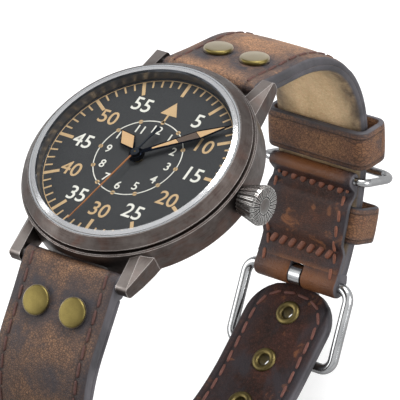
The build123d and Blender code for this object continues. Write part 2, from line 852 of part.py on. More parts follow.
def make_crown():
    crown = turned_on_stem([
        (crown_near_x, crown_bore_radius), (crown_near_x, crown_root_radius),
        (crown_wide_x, crown_radius), (crown_face_x, crown_lip_radius), (crown_face_x, 0),
        (stem_out_x, 0), (stem_out_x, stem_radius + seat_gap),
        (crown_near_x + crown_bore_depth, stem_radius + seat_gap),
        (crown_near_x + crown_bore_depth, crown_bore_radius)])
    slope = degrees(atan2(crown_radius - crown_root_radius, crown_wide_x - crown_near_x))
    length = 3 * (crown_face_x - crown_near_x)
    disc_edge = crown_disc_radius - disc_groove_width
    cuts = []
    for index in range(flute_count):
        flute = Rot(0, 90 - slope, 0) * Cylinder(flute_radius, length)
        flute = Pos(crown_wide_x, 0, crown_radius - flute_radius / 3) * flute
        around = Rot(index * 360 / flute_count, 0, 0)
        cuts.append(Pos(0, 0, crown_z) * around * flute)
        sink = Pos(crown_face_x, 0, disc_edge + disc_groove_width / 2) * Box(
            2 * crown_face_sink, face_groove_width, crown_radius,
            align=(Align.CENTER, Align.CENTER, Align.MIN))
        cuts.append(Pos(0, 0, crown_z) * around * sink)
    cuts.append(turned_on_stem([
        (crown_face_x - crown_face_sink, disc_edge), (crown_face_x + crown_face_sink, disc_edge),
        (crown_face_x + crown_face_sink, crown_disc_radius),
        (crown_face_x - crown_face_sink, crown_disc_radius)]))
    return crown - cuts


def make_crown_tube():
    return turned_on_stem([
        (tube_in_x, tube_bore_radius), (tube_in_x, tube_radius),
        (tube_out_x, tube_radius), (tube_out_x, tube_bore_radius)])


def make_crown_gasket():
    inner = tube_radius + turn_gap
    outer = crown_bore_radius - seat_gap
    return turned_on_stem([
        (crown_gasket_x, inner), (crown_gasket_x, outer),
        (crown_gasket_x + crown_gasket_width, outer),
        (crown_gasket_x + crown_gasket_width, inner)])


def make_winding_stem():
    return turned_on_stem([
        (stem_in_x, 0), (stem_in_x, stem_radius), (stem_out_x, stem_radius), (stem_out_x, 0)])


# Coaxial pinion with face teeth cut on the end that meets its neighbour.
def face_pinion(near, far, tooth_x, bore):
    body = turned_on_stem([(near, bore), (near, pinion_radius), (far, pinion_radius), (far, bore)])
    cuts = []
    for index in range(pinion_tooth_count):
        slot = Box(2 * pinion_tooth_depth, pinion_tooth_depth, pinion_radius,
                   align=(Align.CENTER, Align.CENTER, Align.MIN))
        slot = Pos(tooth_x, 0, stem_radius * 1.5) * slot
        cuts.append(Pos(0, 0, crown_z) * Rot(index * 360 / pinion_tooth_count, 0, 0) * slot)
    return body - cuts


def make_winding_pinion():
    return face_pinion(winding_near_x, winding_far_x, winding_near_x, stem_radius + turn_gap)


def make_sliding_pinion():
    return face_pinion(sliding_near_x, sliding_far_x, sliding_far_x, stem_radius + turn_gap)


# The strap is followed along its outer face; a run is a length along it and a depth is
# measured inward. The twelve side is drawn at +Y and the six side mirrored to -Y.
def strap_station(path, run):
    heading = radians(start_angle)
    y = bar_y - strap_thick / 2 * sin(heading)
    z = bar_z + strap_thick / 2 * cos(heading)
    left = run
    for length, radius in path:
        step = min(left, length)
        turn = step / radius if radius else 0
        if radius:
            y += radius * (sin(heading) - sin(heading - turn))
            z += radius * (cos(heading - turn) - cos(heading))
        else:
            y += step * cos(heading)
            z += step * sin(heading)
        heading -= turn
        left -= step
    return y, z, heading


def strap_point(path, run, depth):
    y, z, heading = strap_station(path, run)
    return Vector(y + depth * sin(heading), z - depth * cos(heading))


twelve_path = ((flat_run, 0), (twelve_shoulder_run, shoulder_radius),
               (twelve_length - flat_run - twelve_shoulder_run, twelve_lower_radius))
twelve_heading = degrees(strap_station(twelve_path, twelve_length)[2])
buckle_at = strap_point(twelve_path, twelve_length, roll_depth)
buckle_reach = polar(buckle_long, twelve_heading + buckle_lift)
ring_depth = strap_thin + ring_roll_radius
ring_at = strap_point(twelve_path, flap_start, ring_depth)
tail_at = buckle_at + polar(tail_reach, twelve_heading + tail_lift)


# The six side's shoulder and lower curves are found so that its tail lies in the buckle.
def close_strap():
    y, z, heading = strap_station(((flat_run, 0),), flat_run)
    shoulder = Vector(y, z) + normal(heading) * shoulder_radius
    tail_heading = radians(180 - twelve_heading - tail_turn - 360)
    tip = Vector(-tail_at.X, tail_at.Y)
    tail_start = tip - Vector(cos(tail_heading), sin(tail_heading)) * six_tail_run
    span = tail_start - shoulder
    ahead = span.dot(normal(tail_heading))
    radius = (shoulder_radius ** 2 - span.length ** 2) / (2 * (ahead + shoulder_radius))
    lower = tail_start + normal(tail_heading) * radius
    middle = (lower - shoulder).normalized()
    meeting = atan2(middle.X, -middle.Y)
    return (heading - meeting) * shoulder_radius, (meeting - tail_heading) * radius, radius


# The way to the inside of a curve that runs with the heading given.
def normal(heading):
    return Vector(sin(heading), -cos(heading))


six_shoulder_run, six_lower_run, six_lower_radius = close_strap()
six_path = ((flat_run, 0), (six_shoulder_run, shoulder_radius),
            (six_lower_run, six_lower_radius), (six_tail_run, 0))
six_length = sum(length for length, radius in six_path)


def thickness(run):
    share = min(1, max(0, (run - flat_run) / (padding_end - flat_run)))
    return strap_thick + (strap_thin - strap_thick) * (1 - cos(pi * share)) / 2


# Local plane on the outer face: X across, Y along the run, Z outward.
def strap_plane(path, run, side=1):
    y, z, heading = strap_station(path, run)
    along = Vector(0, side * cos(heading), sin(heading))
    out = Vector(0, -side * sin(heading), cos(heading))
    return Plane(origin=(0, side * y, z), x_dir=along.cross(out), z_dir=out)


# A long edge of the strap at the depth that the rule gives for each run.
def long_edge(path, start, end, depth, step=station_step):
    edges = Curve()
    near = 0
    for length, radius in path:
        first = max(near, start)
        last = min(near + length, end)
        near += length
        if first >= last:
            continue
        count = max(2, round((last - first) / step)) if radius else 1
        runs = [first + (last - first) * index / count for index in range(count + 1)]
        points = [strap_point(path, run, depth(run)) for run in runs]
        if radius:
            ends = [polar(1, degrees(strap_station(path, run)[2])) for run in (first, last)]
            edges += Spline(*points, tangents=ends)
        else:
            edges += Line(*points)
    return edges


# One layer of the strap between two depth rules, drawn in the side plane.
def layer(path, start, end, top, bottom, step=station_step):
    upper = long_edge(path, start, end, top, step)
    lower = long_edge(path, start, end, bottom, step)
    ends = [Line(strap_point(path, run, top(run)), strap_point(path, run, bottom(run)))
            for run in (start, end)]
    return make_face(Wire(upper.edges() + lower.edges() + ends))


def taper_block():
    low = 2 * taper_end_z
    high = -taper_end_z
    wide = strap_half_width
    slim = strap_end_half_width
    outline = Polyline(
        (wide, high), (wide, taper_start_z), (slim, taper_end_z), (slim, low), (-slim, low),
        (-slim, taper_end_z), (-wide, taper_start_z), (-wide, high), close=True)
    return extrude(Plane.XZ * make_face(outline), 8 * strap_half_width, both=True)


# Side outline made as wide as the strap, tapered, and put on the side asked for.
def strap_solid(outline, side):
    solid = extrude(Plane.YZ * outline, strap_half_width, both=True) & taper_block()
    return solid if side > 0 else mirror(solid, Plane.XZ)


def rivet_places(path, side):
    base = strap_plane(path, rivet_run, side)
    return [base * Pos(x, 0, 0) for x in (rivet_x, -rivet_x)]


def rivet_bores(path, side, radius):
    bores = []
    for place in rivet_places(path, side):
        bores.append(place * Cylinder(radius, 3 * strap_thick))
    return bores


def leather_layer(path, side, end):
    top = layer(path, 0, end, lambda run: 0, lambda run: thickness(run) - lining_thick - glue_gap)
    loop = Pos(bar_y, bar_z) * Circle(strap_thick / 2)
    hole = Pos(bar_y, bar_z) * Circle(bar_radius + turn_gap)
    return strap_solid(top + loop - hole, side) - rivet_bores(path, side, rivet_post_radius + seat_gap)


def lining_layer(path, side, end):
    under = layer(path, lining_start, end, lambda run: thickness(run) - lining_thick,
                  lambda run: thickness(run))
    return strap_solid(under, side) - rivet_bores(path, side, rivet_post_radius + seat_gap)


def round_tail(solid):
    tip = strap_point(six_path, six_length, 0)
    ends = [e for e in solid.edges().filter_by(GeomType.LINE)
            if abs(e.center().Y + tip.X) < strap_thick and e.length < strap_thin
            and abs(e.center().X) > strap_end_half_width / 2]
    return fillet(ends, tail_round)


def make_strap_6_leather():
    return round_tail(leather_layer(six_path, -1, six_length)) - eyelet_bores()


def make_strap_6_lining():
    return round_tail(lining_layer(six_path, -1, six_length)) - eyelet_bores()


def make_strap_12_leather():
    return leather_layer(twelve_path, 1, leather_end)


def make_strap_12_lining():
    return lining_layer(twelve_path, 1, leather_end)


def make_rivets(path, side):
    rivets = []
    bend = (rivet_head_radius ** 2 + rivet_head_height ** 2) / (2 * rivet_head_height)
    arc = RadiusArc((rivet_head_radius, 0), (0, rivet_head_height), -bend)
    depth = strap_thick + rivet_cap_height
    sides = Polyline(
        (0, rivet_head_height), (0, -depth), (rivet_cap_radius, -depth),
        (rivet_cap_radius, -strap_thick), (rivet_post_radius, -strap_thick),
        (rivet_post_radius, 0), (rivet_head_radius, 0))
    rivet = revolve(Plane.XZ * make_face(arc + sides), Axis.Z)
    for place in rivet_places(path, side):
        rivets.append(place * rivet)
    return Compound(rivets)


def eyelet_frames():
    runs = [six_length - eyelet_end - index * eyelet_spacing for index in range(eyelet_count)]
    return [strap_plane(six_path, run, -1) for run in runs]


def eyelet_bores():
    radius = eyelet_bore + eyelet_wall + seat_gap
    return [frame * Cylinder(radius, 4 * strap_thick) for frame in eyelet_frames()]


def make_strap_eyelets():
    low = -strap_thin - eyelet_flange - leather_gap
    eyelet = ring(eyelet_bore + eyelet_wall, eyelet_bore, low, leather_gap)
    eyelet += ring(eyelet_radius, eyelet_bore, low, low + eyelet_flange)
    eyelet += ring(eyelet_radius, eyelet_bore, leather_gap, leather_gap + eyelet_flange)
    return Compound([frame * eyelet for frame in eyelet_frames()])


def make_spring_bar(side):
    bar = across(0, 0, bar_radius, lug_inner_x - seat_gap)
    bar += across(0, 0, bar_tip_radius, lug_inner_x + bar_tip_length - seat_gap)
    return Pos(0, side * bar_y, bar_z) * bar


# A leather band round the strap, standing out past its outer face.
def band(run, length, depth, rise, wall):
    plane = strap_plane(twelve_path, run)
    side = Plane(origin=plane.origin, x_dir=plane.x_dir, z_dir=plane.y_dir * -1)
    height = depth + rise
    width = 2 * strap_half_width
    inner = RectangleRounded(width, height, keeper_round)
    outer = RectangleRounded(width + 2 * wall, height + 2 * wall, keeper_round + wall)
    shape = side * (Pos(0, (rise - depth) / 2) * (outer - inner))
    return extrude(shape, length / 2, both=True)


def make_free_keeper():
    depth = strap_thin + free_keeper_gap
    return band(free_keeper_run, keeper_length, depth, keeper_rise, keeper_wall)


def make_fixed_keeper():
    depth = strap_thin + loose_gap
    return band(fixed_keeper_run, fixed_keeper_length, depth, fixed_keeper_rise, fixed_keeper_wall)


# The flap stands off the strap where the fixed keeper passes under it.
def flap_rise(run):
    past = abs(run - fixed_keeper_run) - fixed_keeper_length / 2 - loose_gap
    share = min(1, max(0, 1 - past / flap_slope_run))
    return (fixed_keeper_wall + 2 * loose_gap) * (1 - cos(pi * share)) / 2


# The leather folded round the buckle bar and stitched back under the strap, its far end
# rolled round the inner bar of the wire ring.
def make_buckle_return_flap():
    under = layer(twelve_path, flap_start, twelve_length,
                  lambda run: strap_thin + glue_gap + flap_rise(run),
                  lambda run: strap_thin + flap_thick + flap_rise(run), flap_step)
    under += Pos(buckle_at.X, buckle_at.Y) * Circle(roll_radius)
    under += Pos(ring_at.X, ring_at.Y) * Circle(ring_roll_radius)
    under -= layer(twelve_path, flap_start - roll_radius, leather_end + glue_gap,
                   lambda run: -roll_radius, lambda run: strap_thin + glue_gap)
    under -= Pos(buckle_at.X, buckle_at.Y) * Circle(buckle_wire_radius + turn_gap)
    under -= Pos(ring_at.X, ring_at.Y) * Circle(ring_wire_radius + turn_gap)
    flap = strap_solid(under, 1)
    plane = strap_plane(twelve_path, twelve_length)
    slot = Box(2 * prong_slot_half_width, 2 * (twelve_length - leather_end), 6 * roll_radius)
    return flap - plane * slot


# Plane of the buckle: X across, Y from its bar to its far end, Z inward.
def buckle_plane():
    along = Vector(0, buckle_reach.X, buckle_reach.Y).normalized()
    return Plane(origin=(0, buckle_at.X, buckle_at.Y), x_dir=(1, 0, 0),
                 z_dir=Vector(1, 0, 0).cross(along))


# A rounded rectangle of wire, one long side on the line through the plane's origin.
def wire_loop(plane, half, long, corner, end_corner, wire_radius):
    path = FilletPolyline((half, 0), (half, long), (-half, long), (-half, 0),
                          radius=(corner, end_corner, end_corner, corner), close=True)
    section = Plane(origin=path @ 0, z_dir=path % 0) * Circle(wire_radius)
    return plane * sweep(section, path)


def make_buckle_frame():
    return wire_loop(buckle_plane(), buckle_half_width, buckle_long, buckle_corner,
                     buckle_corner, buckle_wire_radius)


def make_buckle_prong():
    long = buckle_long + prong_over
    along = polar(1, twelve_heading + prong_swing)
    plane = Plane(origin=(0, buckle_at.X, buckle_at.Y), x_dir=(0, along.X, along.Y),
                  z_dir=(1, 0, 0))
    bore = buckle_wire_radius + 2 * turn_gap
    outer = bore + prong_thick
    blade = Pos(0, bore) * Rectangle(long, prong_thick, align=(Align.MIN, Align.MIN))
    side = Circle(outer) + blade - Circle(bore)
    prong = extrude(plane * side, prong_half_width, both=True)
    size = 2 * prong_half_width
    plan = Polyline(
        (-outer, size), (-outer, -size), (roll_radius, -size), (long, -prong_tip_half_width),
        (long, prong_tip_half_width), (roll_radius, size), close=True)
    flat = Plane(origin=plane.origin, x_dir=plane.x_dir, z_dir=plane.y_dir)
    return prong & extrude(flat * make_face(plan), 4 * outer, both=True)


def make_ring_keeper():
    out = strap_station(twelve_path, flap_start)[2] + radians(90 - ring_tilt)
    along = Vector(0, cos(out), sin(out))
    plane = Plane(origin=(0, ring_at.X, ring_at.Y), x_dir=(1, 0, 0),
                  z_dir=Vector(1, 0, 0).cross(along))
    return wire_loop(plane, ring_half_width, ring_length, ring_corner, ring_end_corner,
                     ring_wire_radius)


pieces = {
    "mid_case": make_mid_case,
    "bezel": make_bezel,
    "crystal": make_crystal,
    "crystal_gasket": lambda: ring(crystal_radius + gasket_wall, crystal_radius + seat_gap,
                                   crystal_low_z, crystal_side_z),
    "rehaut_ring": make_rehaut,
    "dial": make_dial,
    "case_back": make_case_back,
    "case_back_gasket": make_case_back_gasket,
    "movement_holder": make_movement_holder,
    "mainplate": make_mainplate,
    "barrel": make_barrel,
    "barrel_bridge": make_barrel_bridge,
    "train_bridge": make_train_bridge,
    "bridge_screws": make_bridge_screws,
    "train_jewels": make_train_jewels,
    "center_wheel": make_center_wheel,
    "third_wheel": make_third_wheel,
    "fourth_wheel": make_fourth_wheel,
    "escape_wheel": make_escape_wheel,
    "pallet_fork": make_pallet_fork,
    "balance_wheel": make_balance_wheel,
    "hairspring": make_hairspring,
    "balance_cock": make_balance_cock,
    "cannon_pinion": make_cannon_pinion,
    "minute_wheel": make_minute_wheel,
    "hour_wheel": make_hour_wheel,
    "hour_hand": make_hour_hand,
    "minute_hand": make_minute_hand,
    "second_hand": make_second_hand,
    "rotor": make_rotor,
    "rotor_bearing": make_rotor_bearing,
    "crown": make_crown,
    "crown_tube": make_crown_tube,
    "crown_gasket": make_crown_gasket,
    "winding_stem": make_winding_stem,
    "winding_pinion": make_winding_pinion,
    "sliding_pinion": make_sliding_pinion,
    "spring_bar_12": lambda: make_spring_bar(1),
    "spring_bar_6": lambda: make_spring_bar(-1),
    "strap_12_leather": make_strap_12_leather,
    "strap_12_lining": make_strap_12_lining,
    "strap_6_leather": make_strap_6_leather,
    "strap_6_lining": make_strap_6_lining,
    "strap_12_rivets": lambda: make_rivets(twelve_path, 1),
    "strap_6_rivets": lambda: make_rivets(six_path, -1),
    "strap_eyelets": make_strap_eyelets,
    "free_keeper": make_free_keeper,
    "ring_keeper": make_ring_keeper,
    "fixed_keeper": make_fixed_keeper,
    "buckle_return_flap": make_buckle_return_flap,
    "buckle_frame": make_buckle_frame,
    "buckle_prong": make_buckle_prong,
}

os.makedirs("parts", exist_ok=True)
for name, make in pieces.items():
    export_step(make(), f"parts/{name}.step")
    print(name)
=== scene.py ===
from math import cos, pi, radians, sin, sqrt
import bpy
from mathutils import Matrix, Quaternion, Vector


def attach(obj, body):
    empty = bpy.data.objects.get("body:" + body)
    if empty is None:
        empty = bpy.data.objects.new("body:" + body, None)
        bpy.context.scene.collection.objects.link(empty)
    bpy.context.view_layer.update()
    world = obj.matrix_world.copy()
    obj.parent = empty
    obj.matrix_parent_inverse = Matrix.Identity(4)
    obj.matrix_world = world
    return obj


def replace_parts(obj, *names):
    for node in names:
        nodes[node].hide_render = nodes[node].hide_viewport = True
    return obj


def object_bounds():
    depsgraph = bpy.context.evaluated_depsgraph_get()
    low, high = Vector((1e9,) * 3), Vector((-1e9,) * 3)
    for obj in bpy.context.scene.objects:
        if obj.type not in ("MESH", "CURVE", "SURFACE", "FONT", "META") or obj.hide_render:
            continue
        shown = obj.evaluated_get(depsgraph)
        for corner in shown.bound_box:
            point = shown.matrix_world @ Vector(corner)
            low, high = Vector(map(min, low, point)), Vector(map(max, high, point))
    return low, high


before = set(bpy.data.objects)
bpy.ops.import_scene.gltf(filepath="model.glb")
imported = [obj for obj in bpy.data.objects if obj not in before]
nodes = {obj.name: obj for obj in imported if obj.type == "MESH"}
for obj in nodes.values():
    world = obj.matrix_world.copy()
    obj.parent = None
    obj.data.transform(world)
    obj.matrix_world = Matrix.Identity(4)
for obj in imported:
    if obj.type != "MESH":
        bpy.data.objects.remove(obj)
cadBox = [list(corner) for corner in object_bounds()]
mm = 0.001
print("frame loaded,", len(nodes), "nodes")


def addNode(tree, kind, sockets=None, **settings):
    node = tree.nodes.new(kind)
    for key, value in settings.items():
        setattr(node, key, value)
    for key, value in (sockets or {}).items():
        if isinstance(value, bpy.types.NodeSocket):
            tree.links.new(value, node.inputs[key])
        else:
            node.inputs[key].default_value = value
    return node


def noise(tree, coords, scale, detail, roughness=0.55, distortion=0.0):
    made = addNode(tree, "ShaderNodeTexNoise", {
        "Vector": coords, "Scale": scale, "Detail": detail,
        "Roughness": roughness, "Distortion": distortion})
    return made.outputs["Fac"]


def stretched(tree, coords, scale):
    return addNode(tree, "ShaderNodeMapping", {"Vector": coords, "Scale": scale}).outputs["Vector"]


def ramp(tree, factor, stops):
    made = addNode(tree, "ShaderNodeValToRGB", {"Fac": factor})
    elements = made.color_ramp.elements
    while len(elements) < len(stops):
        elements.new(0.5)
    for element, (place, color) in zip(elements, stops):
        element.position = place
        element.color = (*color, 1)
    return made.outputs["Color"]


def spread(tree, value, low, high, toLow=0.0, toHigh=1.0):
    made = addNode(tree, "ShaderNodeMapRange", {
        "Value": value, "From Min": low, "From Max": high, "To Min": toLow, "To Max": toHigh})
    return made.outputs["Result"]


def calc(tree, operation, first, second=0.0):
    made = addNode(tree, "ShaderNodeMath", {0: first, 1: second}, operation=operation)
    return made.outputs["Value"]


def times(tree, first, second):
    return calc(tree, "MULTIPLY", first, second)


# The mix node has sockets for each kind of value: 0, 6 and 7 go in and 2 comes out for a colour.
def mixColor(tree, factor, first, second):
    made = addNode(tree, "ShaderNodeMix", data_type="RGBA")
    for place, value in ((0, factor), (6, first), (7, second)):
        socket = made.inputs[place]
        if isinstance(value, bpy.types.NodeSocket):
            tree.links.new(value, socket)
        elif socket.type == "RGBA":
            socket.default_value = (*value, 1)
        else:
            socket.default_value = value
    return made.outputs[2]


# A colour laid over the base, up to an amount, where a value goes from low to high.
def layer(tree, base, value, low, high, amount, color):
    return mixColor(tree, spread(tree, value, low, high, 0.0, amount), base, color)


def bump(tree, height, distance, strength):
    made = addNode(tree, "ShaderNodeBump", {
        "Height": height, "Distance": distance, "Strength": strength})
    return made.outputs["Normal"]


# A colour made lighter or darker by a factor, and never past white.
def toned(color, factor, lift=0.0):
    return [min(1, c * factor + lift) for c in color]


def startMaterial(name, **shaderValues):
    material = bpy.data.materials.new(name)
    material.use_nodes = True
    tree = material.node_tree
    shader = tree.nodes["Principled BSDF"]
    for key, value in shaderValues.items():
        socket = shader.inputs[key.replace("_", " ")]
        socket.default_value = (*value, 1) if socket.type == "RGBA" else value
    coords = tree.nodes.new("ShaderNodeTexCoord").outputs["Object"]
    return material, tree, shader, coords


def feed(tree, shader, **sources):
    for key, value in sources.items():
        tree.links.new(value, shader.inputs[key.replace("_", " ")])


# How much a spot lies on an edge: the rounded normal leaves the true one there.
def edgeShare(tree, radius, high=0.12):
    soft = addNode(tree, "ShaderNodeBevel", {"Radius": radius}, samples=6).outputs["Normal"]
    hard = addNode(tree, "ShaderNodeNewGeometry").outputs["Normal"]
    dot = addNode(tree, "ShaderNodeVectorMath", {0: soft, 1: hard}, operation="DOT_PRODUCT")
    away = calc(tree, "SUBTRACT", 1.0, dot.outputs["Value"])
    return spread(tree, away, 0.0, high)


# How far a point lies from the Z axis.
def reachFrom(tree, x, y):
    return calc(tree, "SQRT", calc(tree, "ADD", times(tree, x, x), times(tree, y, y)))


# Wear and painted light: the groove and slant shades and the brass glare are painted light.
wearAndPaintedLight = {
    "rust": (0.095, 0.045, 0.032), "grooveShade": (0.010, 0.009, 0.008), "steelBrush": (300, 300, 5200),
    "steelShade": (0.10, 0.10, 0.105), "brassGlare": (0.66, 0.58, 0.45),
    "slate": (0.036, 0.032, 0.037), "edgePaint": ((0.040, 0.038, 0.042), (0.098, 0.092, 0.102)),
}


# Worn steel. Past "lightPast" (the lugs' ends) it is lighter on top, partly from rubbing and
# partly as a painted highlight; its edges get a painted highlight and its grooves painted shade.
def makeWornSteel(name, dark, light, rough, lightPast=1.0, grooveShadeReach=0.0):
    material, tree, shader, coords = startMaterial(name, Metallic=1.0)
    patches = noise(tree, coords, 260, 6, 0.65)
    rust = noise(tree, coords, 150, 5, 0.6, 0.8)
    grain = noise(tree, stretched(tree, coords, wearAndPaintedLight["steelBrush"]), 1.0, 3, 0.6)
    specks = noise(tree, coords, 5200, 2, 0.5)
    base = ramp(tree, patches, [(0.30, dark), (0.55, [(a + b) / 2 for a, b in zip(dark, light)]),
                                (0.75, light)])
    base = layer(tree, base, rust, 0.48, 0.62, 0.55, wearAndPaintedLight["rust"])
    base = layer(tree, base, grain, 0.35, 0.7, 0.3, light)
    x, y, _ = addNode(tree, "ShaderNodeSeparateXYZ", {"Vector": coords}).outputs
    reach = reachFrom(tree, x, y)
    facing = tree.nodes.new("ShaderNodeTexCoord").outputs["Normal"]
    upward = addNode(tree, "ShaderNodeSeparateXYZ", {"Vector": facing}).outputs["Z"]
    # Upward faces past the lugs' reach get lighter: partly rub wear, partly a painted highlight on
    # top.
    rubbedAndLit = times(tree, spread(tree, reach, lightPast, lightPast + 0.0025, 0.0, 0.6),
                  spread(tree, upward, 0.35, 0.8))
    rubbedAndLit = times(tree, rubbedAndLit, spread(tree, patches, 0.25, 0.5, 0.65, 1.0))
    base = mixColor(tree, rubbedAndLit, base, toned(light, 1.9, 0.04))
    # A painted highlight along the edges: a lighter colour and a lower roughness there.
    edge = times(tree, edgeShare(tree, 0.0002, high=0.06),
                spread(tree, patches, 0.25, 0.6, 0.35, 1.0))
    base = mixColor(tree, edge, base, toned(light, 2.8, 0.22))
    roughness = calc(tree, "ADD", spread(tree, patches, 0.3, 0.7, rough + 0.1, rough - 0.04),
                     spread(tree, specks, 0.3, 0.7, 0.05, -0.05))
    roughness = calc(tree, "SUBTRACT", roughness, times(tree, edge, 0.12))
    height = calc(tree, "ADD", times(tree, grain, 0.5),
                  times(tree, specks, 0.5))
    # Painted shade in the grooves, darkest where the ambient occlusion finds them most enclosed.
    if grooveShadeReach:
        free = addNode(tree, "ShaderNodeAmbientOcclusion", {"Distance": grooveShadeReach * mm},
                       samples=8, only_local=True).outputs["AO"]
        base = mixColor(tree, spread(tree, free, 0.6, 0.97, 0.94, 0.0), base, wearAndPaintedLight["grooveShade"])
    feed(tree, shader, Base_Color=base, Roughness=roughness,
         Normal=bump(tree, height, 0.00002, 0.35))
    return material


def makeSatinMetal(name, color, rough, scale=(600, 600, 9000), shade=0.25):
    material, tree, shader, coords = startMaterial(name, Metallic=1.0)
    grain = noise(tree, stretched(tree, coords, scale), 1.0, 3, 0.6)
    cloud = noise(tree, coords, 320, 4)
    base = layer(tree, color, grain, 0.3, 0.7, shade, toned(color, 0.55))
    base = layer(tree, base, cloud, 0.35, 0.75, shade, toned(color, 0.7))
    feed(tree, shader, Base_Color=base,
         Roughness=spread(tree, grain, 0.3, 0.7, rough - 0.06, rough + 0.08),
         Normal=bump(tree, grain, 0.00001, 0.3))
    return material


# Polished steel; a painted shade turns it dark where it is seen at a slant.
def makePolishedSteel(name, dark, light):
    material, tree, shader, coords = startMaterial(name, Metallic=1.0)
    wisps = noise(tree, stretched(tree, coords, (900, 160, 160)), 1.0, 5, 0.7)
    cloud = noise(tree, coords, 240, 4)
    slant = addNode(tree, "ShaderNodeLayerWeight", {"Blend": 0.35}).outputs["Facing"]
    base = ramp(tree, cloud, [(0.3, dark), (0.7, light)])
    base = layer(tree, base, slant, 0.25, 0.75, 0.85, wearAndPaintedLight["steelShade"])
    feed(tree, shader, Base_Color=base, Roughness=spread(tree, wisps, 0.3, 0.75, 0.12, 0.26),
         Normal=bump(tree, wisps, 0.00001, 0.15))
    return material


# Brass with pits, a painted highlight on its edges and, with a glare, a painted sheen that turns
# it pale at a slant.
def makeAgedBrass(name, dark, light, rim, glare=0.0):
    material, tree, shader, coords = startMaterial(name, Metallic=1.0)
    cloud = noise(tree, coords, 420, 3, 0.5)
    pits = noise(tree, coords, 6000, 3, 0.6)
    base = ramp(tree, cloud, [(0.3, dark), (0.7, light)])
    base = layer(tree, base, pits, 0.4, 0.75, 0.3, toned(dark, 0.6))
    base = mixColor(tree, times(tree, edgeShare(tree, 0.00025), 0.55), base, rim)
    slant = addNode(tree, "ShaderNodeLayerWeight", {"Blend": 0.5}).outputs["Facing"]
    base = layer(tree, base, slant, 0.35, 0.7, glare, wearAndPaintedLight["brassGlare"])
    feed(tree, shader, Base_Color=base, Roughness=spread(tree, pits, 0.3, 0.7, 0.36, 0.48),
         Normal=bump(tree, pits, 0.00002, 0.3))
    return material


